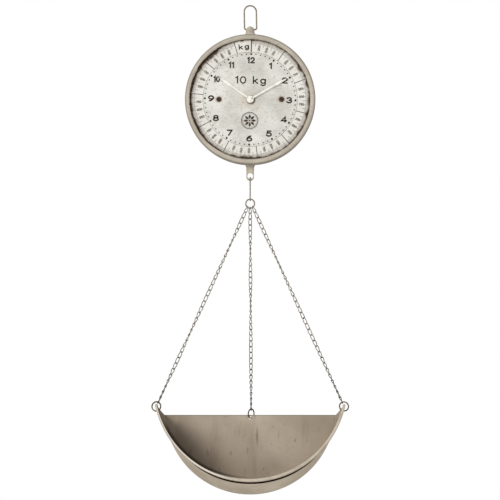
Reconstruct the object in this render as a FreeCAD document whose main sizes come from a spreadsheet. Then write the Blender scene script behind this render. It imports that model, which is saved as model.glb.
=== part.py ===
import FreeCAD, Part
import math
import os
import Sketcher
from FreeCAD import Placement, Rotation, Vector

# A wall clock in the shape of a hanging pan scale.
# Millimetres, +Z up, X to the right and Y away from the viewer.
# The origin is the inside top of the hanging loop.

doc = FreeCAD.newDocument("HangingScaleClock")
sheet = doc.addObject("Spreadsheet::Sheet", "Sizes")
pieces = []


class Size:
    """A number together with the spreadsheet expression that gives it."""

    def __init__(self, value, text):
        self.value = value
        self.text = text

    def __float__(self):
        return float(self.value)

    def __add__(self, other):
        other = as_size(other)
        return Size(self.value + other.value, f"({self.text} + {other.text})")

    def __sub__(self, other):
        other = as_size(other)
        return Size(self.value - other.value, f"({self.text} - {other.text})")

    def __mul__(self, other):
        other = as_size(other)
        return Size(self.value * other.value, f"({self.text} * {other.text})")

    def __truediv__(self, other):
        other = as_size(other)
        return Size(self.value / other.value, f"({self.text} / {other.text})")

    def __radd__(self, other):
        return as_size(other) + self

    def __rsub__(self, other):
        return as_size(other) - self

    def __rmul__(self, other):
        return as_size(other) * self

    def __neg__(self):
        return Size(-self.value, f"(0 - {self.text})")


def as_size(value):
    """Plain numbers become sizes, so that both can be used in one sum."""
    return value if isinstance(value, Size) else Size(value, f"({float(value):.9f})")


def driving(alias, value):
    """One driving dimension: a spreadsheet cell with a plain number and an alias."""
    driving.row += 1
    cell = f"A{driving.row}"
    sheet.set(cell, str(value))
    sheet.setAlias(cell, alias)
    return Size(value, f"Sizes.{alias}")


driving.row = 0

# Hanging loop and the two lugs of the case
wire_radius = driving("wire_radius", 1.1)
loop_half_width = driving("loop_half_width", 10.3)
loop_bend_radius = driving("loop_bend_radius", 3.0)
swing_axis_drop = driving("swing_axis_drop", 39.5)
lug_radius = driving("lug_radius", 7.0)
lug_flare = driving("lug_flare", 2.0)
stud_radius = driving("stud_radius", 2.5)
bottom_lug_width = driving("bottom_lug_width", 12.6)
bottom_lug_thickness = driving("bottom_lug_thickness", 6.0)
bottom_lug_length = driving("bottom_lug_length", 27.0)
bottom_lug_hole_radius = driving("bottom_lug_hole_radius", 4.9)

# Case, dial and hands
case_radius = driving("case_radius", 110.5)
case_depth = driving("case_depth", 48.0)
case_drop = driving("case_drop", 159.0)
sheet_thickness = driving("sheet_thickness", 1.0)
bezel_radius = driving("bezel_radius", 4.3)
front_opening_radius = driving("front_opening_radius", 105.5)
back_opening_radius = driving("back_opening_radius", 103.5)
access_hole_radius = driving("access_hole_radius", 40.0)
dial_screw_offset = driving("dial_screw_offset", 53.0)
post_radius = driving("post_radius", 3.0)
screw_radius = driving("screw_radius", 1.5)
minute_hand_length = driving("minute_hand_length", 73.0)
hour_hand_length = driving("hour_hand_length", 68.0)
hand_thickness = driving("hand_thickness", 0.5)

# Clock movement
movement_width = driving("movement_width", 56.0)
movement_depth = driving("movement_depth", 16.5)
movement_wall = driving("movement_wall", 1.2)
front_shell_depth = driving("front_shell_depth", 4.0)
bushing_radius = driving("bushing_radius", 4.0)
battery_radius = driving("battery_radius", 7.1)
battery_length = driving("battery_length", 49.2)
wheel_thickness = driving("wheel_thickness", 0.8)
arbor_radius = driving("arbor_radius", 0.5)
running_clearance = driving("running_clearance", 0.05)

# Load hook and load ring
hook_wire_radius = driving("hook_wire_radius", 1.05)
hook_eye_radius = driving("hook_eye_radius", 5.9)
hook_eye_drop = driving("hook_eye_drop", 296.7)
hook_lower_eye_radius = driving("hook_lower_eye_radius", 2.55)
load_ring_radius = driving("load_ring_radius", 7.55)
load_ring_drop = driving("load_ring_drop", 335.4)

# Chains and the rings at their lower ends
link_wire_radius = driving("link_wire_radius", 0.7)
link_width = driving("link_width", 6.2)
link_pitch = driving("link_pitch", 10.2)
link_clearance = driving("link_clearance", 0.15)
ring_radius = driving("ring_radius", 7.7)

# Pan
pan_sheet = driving("pan_sheet", 1.2)
pan_depth = driving("pan_depth", 120.0)
pan_front = driving("pan_front", -74.0)
mouth_radius = driving("mouth_radius", 160.8)
mouth_centre_drop = driving("mouth_centre_drop", 638.8)
ear_drop = driving("ear_drop", 673.2)
bead_radius = driving("bead_radius", 3.0)
back_wall_radius = driving("back_wall_radius", 146.0)
back_centre_drop = driving("back_centre_drop", 687.4)
back_edge_drop = driving("back_edge_drop", 697.4)
ear_hole_drop = driving("ear_hole_drop", 683.3)
ear_hole_setback = driving("ear_hole_setback", 8.0)
ear_hole_radius = driving("ear_hole_radius", 2.5)
doc.recompute()

# Places worked out from the driving dimensions
case_z = -case_drop
case_front = -case_depth / 2
case_back = case_depth / 2
bezel_back = case_front + bezel_radius
dial_front = bezel_back + sheet_thickness
dial_back = dial_front + sheet_thickness
washer_thickness = 0.8
bushing_gap = 0.1
movement_front = dial_back + washer_thickness
movement_back = movement_front + movement_depth
shell_split = movement_front + front_shell_depth
thread_radius = 1.0
cavity_front = movement_front + movement_wall
cavity_back = movement_back - movement_wall
pan_back_face = pan_front + pan_depth

TO_Y = Rotation(Vector(1, 0, 0), -90)
TO_X = Rotation(Vector(0, 1, 0), 90)
TO_Z = Rotation()
IN_FRONTAL_PLANE = Rotation(Vector(1, 0, 0), 90)
IN_SIDE_PLANE = Rotation(Vector(0, 0, 1), 90) * Rotation(Vector(1, 0, 0), 90)


# ---------------------------------------------------------------- shared ways of making a piece

def keep(obj, label):
    """Name an object as one of the sub-parts."""
    obj.Label = label
    pieces.append(obj)
    return obj


def put(obj, x, y, z, turn=TO_Z):
    """Place an object, with each coordinate bound to the spreadsheet where it is a size."""
    obj.Placement = Placement(Vector(float(x), float(y), float(z)), turn)
    for axis, value in zip("xyz", (x, y, z)):
        if isinstance(value, Size):
            obj.setExpression(f"Placement.Base.{axis}", value.text)
    return obj


def primitive(kind, name, sizes, x, y, z, turn=TO_Z):
    """A Part primitive whose properties are bound to sizes."""
    obj = doc.addObject(f"Part::{kind}", name)
    for prop, value in sizes.items():
        obj.setExpression(prop, as_size(value).text)
    return put(obj, x, y, z, turn)


def cylinder(name, radius, length, x, y, z, turn=TO_Y):
    return primitive("Cylinder", name, {"Radius": radius, "Height": length}, x, y, z, turn)


def cone(name, first_radius, last_radius, length, x, y, z, turn=TO_Y):
    sizes = {"Radius1": first_radius, "Radius2": last_radius, "Height": length}
    return primitive("Cone", name, sizes, x, y, z, turn)


def box(name, width, depth, height, x, y, z):
    """A box given by its lowest corner."""
    return primitive("Box", name, {"Length": width, "Width": depth, "Height": height}, x, y, z)


def ring(name, radius, wire, x, y, z, turn=IN_FRONTAL_PLANE, start=0, sweep=360):
    """Round wire bent to a circle or to a part of one."""
    turned = turn * Rotation(Vector(0, 0, 1), start)
    sizes = {"Radius1": radius, "Radius2": wire, "Angle3": sweep}
    return primitive("Torus", name, sizes, x, y, z, turned)


def fuse(name, shapes):
    obj = doc.addObject("Part::MultiFuse", name)
    obj.Shapes = shapes
    return obj


def cut(name, base, tool):
    obj = doc.addObject("Part::Cut", name)
    obj.Base = base
    obj.Tool = tool
    return obj


def cut_all(name, base, tools):
    """Cut several tools away from one base."""
    return cut(name, base, tools[0] if len(tools) == 1 else fuse(name + "_tools", tools))


def add_polygon(sketch, points):
    """A closed outline whose corners are bound to sizes."""
    corners = [Vector(float(x), float(y), 0) for x, y in points]
    count = len(corners)
    for index in range(count):
        sketch.addGeometry(Part.LineSegment(corners[index], corners[(index + 1) % count]))
    for index in range(count):
        sketch.addConstraint(Sketcher.Constraint("Coincident", index, 2, (index + 1) % count, 1))
    for index, point in enumerate(points):
        for kind, value in zip(("DistanceX", "DistanceY"), point):
            number = sketch.addConstraint(Sketcher.Constraint(kind, -1, 1, index, 1, float(value)))
            if isinstance(value, Size):
                sketch.setExpression(f"Constraints[{number}]", value.text)


def body_with_sketch(name, role):
    """A PartDesign body with one sketch on the origin plane that has this role."""
    body = doc.addObject("PartDesign::Body", name)
    sketch = body.newObject("Sketcher::SketchObject", name + "_sketch")
    plane = [item for item in body.Origin.OriginFeatures if item.Role == role][0]
    sketch.AttachmentSupport = [(plane, "")]
    sketch.MapMode = "FlatFace"
    return body, sketch


def turned(name, outline, x=0, z=case_z):
    """A piece turned about an axis along Y, from its outline as radius and Y."""
    body, sketch = body_with_sketch(name, "XY_Plane")
    add_polygon(sketch, outline)
    revolution = body.newObject("PartDesign::Revolution", name + "_revolution")
    revolution.Profile = sketch
    revolution.ReferenceAxis = (sketch, ["V_Axis"])
    revolution.Angle = 360
    return put(body, x, 0, z)


def plate(name, outline, front, thickness, x=0, z=0, turn=TO_Z):
    """A flat piece: its outline as X and Z, padded backwards from its front face."""
    body, sketch = body_with_sketch(name, "XZ_Plane")
    add_polygon(sketch, outline)
    pad = body.newObject("PartDesign::Pad", name + "_pad")
    pad.Profile = sketch
    pad.Reversed = True
    pad.setExpression("Length", as_size(thickness).text)
    return put(body, x, front, z, turn)


def made(name, shape):
    """A piece whose shape comes from Part's own functions."""
    obj = doc.addObject("Part::Feature", name)
    obj.Shape = shape
    return obj


# ---------------------------------------------------------------- hanging loop and lugs

def hanging_bail():
    """A long wire loop whose two ends turn inwards into the bore of the top lug."""
    top = wire_radius - loop_half_width
    bend_z = loop_bend_radius - swing_axis_drop
    leg_length = top - bend_z
    bend_x = loop_half_width - loop_bend_radius
    pin_gap_half = 2.5
    shapes = [ring("bail_top", loop_half_width, wire_radius, 0, 0, top, sweep=180)]
    for side, start in ((-1, 180), (1, 270)):
        name = "bail_left" if side < 0 else "bail_right"
        shapes.append(cylinder(name + "_leg", wire_radius, leg_length,
                               side * loop_half_width, 0, bend_z, TO_Z))
        shapes.append(ring(name + "_bend", loop_bend_radius, wire_radius,
                           side * bend_x, 0, bend_z, start=start, sweep=90))
        first_x = as_size(pin_gap_half) if side > 0 else -bend_x
        shapes.append(cylinder(name + "_pin", wire_radius, bend_x - pin_gap_half,
                               first_x, 0, -swing_axis_drop, TO_X))
    keep(fuse("Bail", shapes), "hanging_bail")


LUG_STUD_LENGTH = 7.0
LUG_NUT_HEIGHT = 3.0
LUG_NUT_GAP = 0.2
SADDLE_OVERLAP = 1.0


def saddle(name):
    """The outside of the case, which the foot of each lug sits on."""
    return cylinder(name, case_radius, case_depth, 0, case_front, case_z)


def top_lug():
    """A domed stud with a flared foot, cross-bored for the hanging loop."""
    case_top = case_radius - case_drop
    dome_height = 7.5
    dome_z = case_top + dome_height
    foot_z = case_top - SADDLE_OVERLAP
    flare_height = 3.5
    dome = primitive("Sphere", "top_lug_dome", {"Radius": lug_radius}, 0, 0, dome_z)
    shaft = cylinder("top_lug_shaft", lug_radius, dome_z - foot_z, 0, 0, foot_z, TO_Z)
    foot = cone("top_lug_foot", lug_radius + lug_flare, lug_radius, flare_height, 0, 0, foot_z, TO_Z)
    bore = cylinder("top_lug_bore", wire_radius + running_clearance, 4 * lug_radius,
                    -2 * lug_radius, 0, -swing_axis_drop, TO_X)
    head = fuse("top_lug_head", [dome, shaft, foot])
    shaped = cut_all("top_lug_shaped", head, [bore, saddle("top_lug_saddle")])
    stud = cylinder("top_lug_stud", stud_radius, LUG_STUD_LENGTH + SADDLE_OVERLAP,
                    0, 0, case_top - LUG_STUD_LENGTH, TO_Z)
    keep(fuse("TopLug", [shaped, stud]), "top_lug")
    lug_nut("top_lug_nut", case_top - sheet_thickness - LUG_NUT_GAP - LUG_NUT_HEIGHT)


def bottom_lug():
    """A flat eye with a flared foot, fixed to the bottom of the case."""
    case_bottom = -case_radius - case_drop
    half = bottom_lug_width / 2
    foot_overhang = 2.45
    foot_half = half + foot_overhang
    flare_height = 5.0
    foot_z = case_bottom + SADDLE_OVERLAP
    eye_end_z = case_bottom - bottom_lug_length + half
    hole_raised_by = 2.0
    hole_z = eye_end_z + hole_raised_by
    outline = [(-foot_half, foot_z), (foot_half, foot_z), (half, foot_z - flare_height),
               (half, eye_end_z), (-half, eye_end_z), (-half, foot_z - flare_height)]
    shank = plate("bottom_lug_shank", outline, -bottom_lug_thickness / 2, bottom_lug_thickness)
    end = cylinder("bottom_lug_end", half, bottom_lug_thickness,
                   0, -bottom_lug_thickness / 2, eye_end_z)
    hole = cylinder("bottom_lug_hole", bottom_lug_hole_radius, 2 * bottom_lug_thickness,
                    0, -bottom_lug_thickness, hole_z)
    blank = fuse("bottom_lug_blank", [shank, end])
    shaped = cut_all("bottom_lug_shaped", blank, [hole, saddle("bottom_lug_saddle")])
    stud = cylinder("bottom_lug_stud", stud_radius, LUG_STUD_LENGTH + SADDLE_OVERLAP,
                    0, 0, case_bottom - SADDLE_OVERLAP, TO_Z)
    keep(fuse("BottomLug", [shaped, stud]), "bottom_lug")
    lug_nut("bottom_lug_nut", case_bottom + sheet_thickness + LUG_NUT_GAP)


def hexagon(across_flats):
    corner = across_flats / 2 / math.cos(math.pi / 6)
    angles = [math.pi / 3 * step for step in range(6)]
    return [(corner * math.cos(angle), corner * math.sin(angle)) for angle in angles]


def lug_nut(name, z):
    """A plain nut inside the case that holds a lug on by its stud."""
    across_flats = 9.0
    body, sketch = body_with_sketch(name + "_hexagon", "XY_Plane")
    add_polygon(sketch, hexagon(across_flats))
    pad = body.newObject("PartDesign::Pad", name + "_pad")
    pad.Profile = sketch
    pad.Length = LUG_NUT_HEIGHT
    put(body, 0, 0, z)
    hole = cylinder(name + "_hole", stud_radius, 3 * LUG_NUT_HEIGHT, 0, 0, z - LUG_NUT_HEIGHT, TO_Z)
    keep(cut(name + "_cut", body, hole), name)


# ---------------------------------------------------------------- case, dial and back

REAR_SCREW_RADIUS = 106.0
REAR_SCREW_ANGLES = (45, 135, 225, 315)


def case_drum():
    """The sheet-metal side of the case, with a flange in front and one behind."""
    inner = case_radius - sheet_thickness
    rear = case_back - sheet_thickness
    outline = [(front_opening_radius, bezel_back), (case_radius, bezel_back), (case_radius, rear),
               (back_opening_radius, rear), (back_opening_radius, rear - sheet_thickness),
               (inner, rear - sheet_thickness), (inner, dial_front),
               (front_opening_radius, dial_front)]
    shell = turned("drum_shell", outline)
    stud_hole = cylinder("drum_stud_holes", stud_radius, 3 * case_radius,
                         0, 0, case_z - 1.5 * case_radius, TO_Z)
    tools = [stud_hole]
    for number, (x, z) in enumerate(rear_screw_places()):
        tools.append(cylinder(f"drum_screw_hole_{number}", screw_radius, 4, x, case_back - 3, z))
    keep(cut_all("Drum", shell, tools), "case_drum")


def rear_screw_places():
    for angle in REAR_SCREW_ANGLES:
        turn = math.radians(angle)
        yield REAR_SCREW_RADIUS * math.cos(turn), case_z + REAR_SCREW_RADIUS * math.sin(turn)


def post_places():
    for side in (-1, 1):
        yield side * dial_screw_offset, case_z


def front_bezel():
    """A half-round ring on the front flange of the drum."""
    inset = 0.9
    middle = case_radius - inset - bezel_radius
    bead = ring("bezel_bead", middle, bezel_radius, 0, bezel_back, case_z)
    front_half = cylinder("bezel_front_half", case_radius, 2 * bezel_radius,
                          0, bezel_back - 2 * bezel_radius, case_z)
    common = doc.addObject("Part::Common", "Bezel")
    common.Base = bead
    common.Tool = front_half
    keep(common, "front_bezel")


def dial_plate():
    """A flat disc with holes for the movement's bushing and the two dial screws."""
    drum_gap = 0.2
    radius = case_radius - sheet_thickness - drum_gap
    hub = bushing_radius + bushing_gap
    outline = [(hub, dial_front), (radius, dial_front), (radius, dial_back), (hub, dial_back)]
    disc = turned("dial_disc", outline)
    tools = [cylinder(f"dial_hole_{number}", screw_radius, 4, x, dial_front - 1, z)
             for number, (x, z) in enumerate(post_places())]
    keep(cut_all("Dial", disc, tools), "dial_plate")


def slotted_screw(name, head_radius, head_height, shank_length, x, front, z):
    """A cheese-head screw that points backwards, with a driver slot across its head."""
    slot_width = 1.0
    head = cylinder(name + "_head", head_radius, head_height, x, front - head_height, z)
    shank = cylinder(name + "_shank", screw_radius, shank_length, x, front, z)
    slot = box(name + "_slot", 4 * head_radius, head_height, slot_width,
               x - 2 * head_radius, front - 1.5 * head_height, z - slot_width / 2)
    return fuse(name, [cut(name + "_slotted", head, slot), shank])


def dial_fixings():
    """Two screws go through the dial into long posts that stand on the back plate."""
    post_back = case_back - sheet_thickness
    head_radius = 4.25
    head_height = 1.8
    shank = 7.0
    screws = []
    posts = []
    for number, (x, z) in enumerate(post_places()):
        screws.append(slotted_screw(f"dial_screw_{number}", head_radius, head_height, shank,
                                    x, dial_front, z))
        rod = cylinder(f"post_rod_{number}", post_radius, post_back - dial_back, x, dial_back, z)
        holes = [cylinder(f"post_front_hole_{number}", screw_radius, shank, x, dial_back - 1, z),
                 cylinder(f"post_back_hole_{number}", screw_radius, shank, x, post_back - shank, z)]
        posts.append(cut_all(f"post_{number}", rod, holes))
    keep(group("DialScrews", screws), "dial_screws")
    keep(group("DialPosts", posts), "dial_posts")
    keep(group("PostScrews", [flat_screw(f"post_screw_{number}", x, z)
                              for number, (x, z) in enumerate(post_places())]), "post_screws")


def group(name, members):
    """Identical fasteners as separate solids of one sub-part."""
    compound = doc.addObject("Part::Compound", name)
    compound.Links = members
    return compound


def flat_head(name, x, z):
    """The countersunk head of a screw, flush with the back of the case."""
    return cone(name, screw_radius, 2 * screw_radius, sheet_thickness, x, case_back - sheet_thickness, z)


def flat_screw(name, x, z):
    """A countersunk screw put in from behind."""
    shank_length = 5.0
    shank = cylinder(name + "_shank", screw_radius, shank_length,
                     x, case_back - sheet_thickness - shank_length, z)
    slot_width = 0.8
    slot_depth = 0.5
    slot = box(name + "_slot", 4 * screw_radius, sheet_thickness, slot_width,
               x - 2 * screw_radius, case_back - slot_depth, z - slot_width / 2)
    return cut(name, fuse(name + "_blank", [flat_head(name + "_head", x, z), shank]), slot)


def back_plate():
    """The flat back, with a round hole that reaches the battery and the setting knob."""
    front = case_back - sheet_thickness
    outline = [(access_hole_radius, front), (case_radius, front),
               (case_radius, case_back), (access_hole_radius, case_back)]
    disc = turned("back_disc", outline)
    places = list(post_places()) + list(rear_screw_places())
    tools = [flat_head(f"back_sink_{number}", x, z) for number, (x, z) in enumerate(places)]
    keep(cut_all("Back", disc, tools), "back_plate")
    screws = [flat_screw(f"back_screw_{number}", x, z)
              for number, (x, z) in enumerate(rear_screw_places())]
    keep(group("BackScrews", screws), "back_plate_screws")


# ---------------------------------------------------------------- movement housing

half_width = movement_width / 2
inner_half = half_width - movement_wall
bay_low = case_z - half_width + 1.0
bay_height = 2 * battery_radius + 0.2
bay_width = battery_length + 3.2
bay_left = -bay_width / 2
bay_top = bay_low + bay_height
cavity_low = bay_top + 1.0
cavity_height = case_z + inner_half - cavity_low
knob_x = 14.4
knob_hole_radius = 1.3


def blind_holes(name, places, y, depth):
    """Bearing holes for the pivots of the wheels, drilled along Y from y."""
    return [cylinder(f"{name}_{number}", arbor_radius + running_clearance, depth, x, y, case_z + z)
            for number, (x, z) in enumerate(places)]


def movement_front_shell():
    """The front tray, with the bushing that passes through the dial."""
    bushing_length = 4.3
    hour_pipe_bore = 2.55
    block = box("front_shell_block", movement_width, front_shell_depth, movement_width,
                -half_width, movement_front, case_z - half_width)
    bushing = cylinder("front_shell_bushing", bushing_radius, bushing_length,
                       0, movement_front - bushing_length, case_z)
    cavity = box("front_shell_cavity", 2 * inner_half, front_shell_depth, cavity_height,
                 -inner_half, cavity_front, cavity_low)
    bay = box("front_shell_bay", bay_width, front_shell_depth, bay_height,
              bay_left, cavity_front, bay_low)
    bore = cylinder("front_shell_bore", hour_pipe_bore, 2 * front_shell_depth,
                    0, movement_front - bushing_length - 1, case_z)
    pivots = blind_holes("front_pivot", [MINUTE_WHEEL, THIRD_WHEEL], cavity_front - 0.8, 1.0)
    tools = [cavity, bay, bore] + pivots
    keep(cut_all("FrontShell", fuse("front_shell_blank", [block, bushing]), tools),
         "movement_front_shell")


def movement_rear_shell():
    """The rear housing, with the battery bay open to the back."""
    depth = movement_back - shell_split
    block = box("rear_shell_block", movement_width, depth, movement_width,
                -half_width, shell_split, case_z - half_width)
    cavity = box("rear_shell_cavity", 2 * inner_half, depth - movement_wall, cavity_height,
                 -inner_half, shell_split, cavity_low)
    bay = box("rear_shell_bay", bay_width, 2 * depth, bay_height, bay_left, shell_split - 1, bay_low)
    knob_hole = cylinder("rear_shell_knob_hole", knob_hole_radius, 4, knob_x, movement_back - 3, case_z)
    pivots = blind_holes("rear_pivot", [THIRD_WHEEL, FOURTH_WHEEL, FIFTH_WHEEL, ROTOR],
                         cavity_back - 0.2, 1.0)
    keep(cut_all("RearShell", block, [cavity, bay, knob_hole] + pivots), "movement_rear_shell")


def movement_middle_plate():
    """The plate between the motion work and the going train."""
    thickness = 1.0
    blank = box("middle_plate_blank", 2 * inner_half, thickness, cavity_height,
                -inner_half, MIDDLE_PLATE, cavity_low)
    pivots = blind_holes("plate_pivot", [FOURTH_WHEEL, FIFTH_WHEEL, ROTOR], MIDDLE_PLATE - 1, 3)
    third_hole_radius = 0.8
    third = cylinder("plate_third_hole", third_hole_radius, 3,
                     THIRD_WHEEL[0], MIDDLE_PLATE - 1, case_z + THIRD_WHEEL[1])
    knob = cylinder("plate_knob_hole", knob_hole_radius, 3, knob_x, MIDDLE_PLATE - 1, case_z)
    keep(cut_all("MiddlePlate", blank, pivots + [third, knob]), "movement_middle_plate")


def movement_fixings():
    """Rubber washer behind the dial, flat washer and hexagon nut in front of it."""
    hole = bushing_radius + bushing_gap
    outer = bushing_radius + 5
    rubber = [(hole, dial_back), (outer, dial_back), (outer, movement_front), (hole, movement_front)]
    keep(turned("RubberWasher", rubber), "rubber_washer")
    flat_thickness = 0.5
    washer_front = dial_front - flat_thickness
    flat = bushing_radius + 2
    flat_washer = [(hole, washer_front), (flat, washer_front), (flat, dial_front), (hole, dial_front)]
    keep(turned("FixingWasher", flat_washer), "fixing_washer")
    nut_thickness = 1.7
    across_flats = 11
    nut = plate("fixing_nut_hexagon", hexagon(across_flats), washer_front - nut_thickness, nut_thickness,
                z=case_z)
    bore = cylinder("fixing_nut_bore", bushing_radius, 4, 0, washer_front - 3, case_z)
    keep(cut("FixingNut", nut, bore), "fixing_nut")


def coil_and_stator():
    """The drive coil on its core, and the stator plate that leads its field round the rotor."""
    plate_thickness = 1.0
    plate_width = 15.4
    plate_below_rotor = 5
    plate_in_front_of_shell = 4.4
    stator_front = cavity_back - plate_in_front_of_shell
    coil_above_centre = 19
    coil_z = case_z + coil_above_centre
    core_y = stator_front + plate_thickness / 2
    core_half = 1.2
    winding_radius = 3.2
    winding_length = 12
    winding_x = -24
    cheek_radius = 3.8
    cheek = 0.8
    coil = cylinder("coil_winding", winding_radius, winding_length, winding_x, core_y, coil_z, TO_X)
    cheek_left = cylinder("coil_cheek_left", cheek_radius, cheek, winding_x - cheek, core_y, coil_z, TO_X)
    cheek_right = cylinder("coil_cheek_right", cheek_radius, cheek,
                           winding_x + winding_length, core_y, coil_z, TO_X)
    core_slot = box("coil_core_slot", winding_length + 8, plate_thickness, 2 * core_half,
                    winding_x - 3, stator_front, coil_z - core_half)
    keep(cut("Coil", fuse("coil_blank", [coil, cheek_left, cheek_right]), core_slot), "coil")
    plate_right = bay_left + plate_width
    plate_low = case_z + ROTOR[1] - plate_below_rotor
    plate_top = coil_z + core_half
    outline = [(bay_left, plate_low), (plate_right, plate_low),
               (plate_right, plate_top), (bay_left, plate_top)]
    blank = plate("stator_blank", outline, stator_front, plate_thickness)
    coil_gap = 0.1
    window_left = winding_x - cheek - coil_gap
    window_top = coil_z - core_half
    window_width = winding_length + 2 * cheek + 2 * coil_gap
    window_height = 5.8
    window = box("stator_window", window_width, 3 * plate_thickness, window_height,
                 window_left, stator_front - plate_thickness, window_top - window_height)
    rotor_hole = cylinder("stator_rotor_hole", MAGNET_RADIUS + 0.5, 3 * plate_thickness,
                          ROTOR[0], stator_front - plate_thickness, case_z + ROTOR[1])
    arbor_hole = cylinder("stator_arbor_hole", 2 * arbor_radius, 3 * plate_thickness,
                          FIFTH_WHEEL[0], stator_front - plate_thickness, case_z + FIFTH_WHEEL[1])
    keep(cut_all("Stator", blank, [window, rotor_hole, arbor_hole]), "stator")


def circuit():
    """The circuit board on the back of the cavity, with the crystal lying on it."""
    board_width = 17
    board_height = 15
    board_thickness = 1.0
    board_left = 9
    board_above_centre = 9
    board_clearance = 1.0
    board_front = cavity_back - board_clearance - board_thickness
    crystal_radius = 1.0
    crystal_length = 6
    crystal_from_left = 5
    crystal_from_bottom = 9
    board_low = case_z + board_above_centre
    keep(box("Board", board_width, board_thickness, board_height, board_left, board_front, board_low),
         "circuit_board")
    keep(cylinder("Crystal", crystal_radius, crystal_length, board_left + crystal_from_left,
                  board_front - crystal_radius, board_low + crystal_from_bottom, TO_X),
         "quartz_crystal")


def battery_and_contacts():
    """The battery between its flat contact and its sprung one."""
    battery_z = bay_low + bay_height / 2
    battery_y = movement_back - battery_radius - 0.6
    contact = 0.4
    contact_depth = 10
    contact_height = 9
    contact_y = battery_y - contact_depth / 2
    contact_z = battery_z - contact_height / 2
    wall_gap = 0.1
    plate_x = bay_width / 2 - wall_gap - contact
    leaf_x = bay_left + wall_gap
    cell_start = -25.0
    keep(box("PlateContact", contact, contact_depth, contact_height, plate_x, contact_y, contact_z),
         "battery_plate_contact")
    leaf = box("leaf_contact", contact, contact_depth, contact_height, leaf_x, contact_y, contact_z)
    bulge_radius = 3.0
    bulge_x = leaf_x - 2.0
    bulge = primitive("Sphere", "leaf_bulge", {"Radius": bulge_radius}, bulge_x, battery_y, battery_z)
    bulge_side = box("leaf_bulge_side", bulge_radius, 8, 8, leaf_x + 0.2, battery_y - 4, battery_z - 4)
    dome = doc.addObject("Part::Common", "leaf_dome")
    dome.Base = bulge
    dome.Tool = bulge_side
    keep(fuse("SpringContact", [leaf, dome]), "battery_spring_contact")
    cap_radius = 2.7
    cap_height = 1.0
    cell = cylinder("battery_cell", battery_radius, battery_length,
                    cell_start, battery_y, battery_z, TO_X)
    cap = cylinder("battery_cap", cap_radius, cap_height, cell_start + battery_length,
                   battery_y, battery_z, TO_X)
    keep(fuse("Battery", [cell, cap]), "battery")


# ---------------------------------------------------------------- wheels of the movement

# Teeth and modules: distances between centres follow from them.
GOING_MODULE_THIRD = 24 / 68
GOING_MODULE_CENTRE = 24 / 72
GOING_MODULE_FIFTH = 0.32
ROTOR_MODULE = 0.4
MOTION_MODULE = 0.36
THIRD_DISTANCE = (60 + 8) * GOING_MODULE_THIRD / 2
FIFTH_DISTANCE = (60 + 10) * GOING_MODULE_FIFTH / 2
ROTOR_DISTANCE = (30 + 6) * ROTOR_MODULE / 2
MOTION_DISTANCE = (10 + 30) * MOTION_MODULE / 2
FIFTH_ANGLE = 150
ROTOR_ANGLE = 180
THIRD_WHEEL = (0.0, THIRD_DISTANCE)
FOURTH_WHEEL = (0.0, 0.0)
FIFTH_WHEEL = (FIFTH_DISTANCE * math.cos(math.radians(FIFTH_ANGLE)),
               FIFTH_DISTANCE * math.sin(math.radians(FIFTH_ANGLE)))
ROTOR = (FIFTH_WHEEL[0] - ROTOR_DISTANCE, FIFTH_WHEEL[1])
MINUTE_WHEEL = (MOTION_DISTANCE, 0.0)

# Levels of the wheels, from the front of the cavity backwards
HOUR_LEVEL = float(cavity_front) + 0.2
MINUTE_LEVEL = HOUR_LEVEL + 1.2
CENTRE_LEVEL = MINUTE_LEVEL + 1.0
MIDDLE_PLATE = CENTRE_LEVEL + 1.1
THIRD_LEVEL = MIDDLE_PLATE + 1.2
FOURTH_LEVEL = THIRD_LEVEL + 1.2
FIFTH_LEVEL = FOURTH_LEVEL + 1.2
MAGNET_LEVEL = FIFTH_LEVEL + 1.3
MAGNET_RADIUS = 3.0


def toothed(teeth, module, thickness, phase, level):
    """A toothed disc: slender straight-flanked teeth, the first one at the angle phase."""
    root = module * (teeth / 2 - 1.2)
    tip = module * (teeth / 2 + 0.8)
    pitch = 360 / teeth
    corners = []
    for tooth in range(teeth):
        middle = phase + tooth * pitch
        for radius, share in ((root, -0.23), (tip, -0.09), (tip, 0.09), (root, 0.23)):
            angle = math.radians(middle + share * pitch)
            corners.append(Vector(radius * math.cos(angle), level, radius * math.sin(angle)))
    outline = Part.makePolygon(corners + [corners[0]])
    return Part.Face(outline).extrude(Vector(0, thickness, 0))


def mating_phase(phase, teeth, angle, other_teeth):
    """The phase of the wheel that lies at this angle, so that the teeth fall into its gaps."""
    pitch = 360 / teeth
    offset = (phase - angle + pitch / 2) % pitch - pitch / 2
    return angle + 180 - offset * teeth / other_teeth + 180 / other_teeth


def rod(radius, start, end):
    """A round stretch of an arbor between two levels."""
    return Part.makeCylinder(radius, end - start, Vector(0, start, 0), Vector(0, 1, 0))


def wheel(label, centre, parts, bores=()):
    """Everything on one arbor as one turning piece."""
    shape = parts[0].multiFuse(parts[1:])
    for bore in bores:
        shape = shape.cut(bore)
    obj = made(label.title().replace("_", ""), shape.removeSplitter())
    put(obj, centre[0], 0, case_z + centre[1])
    return keep(obj, label)


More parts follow.
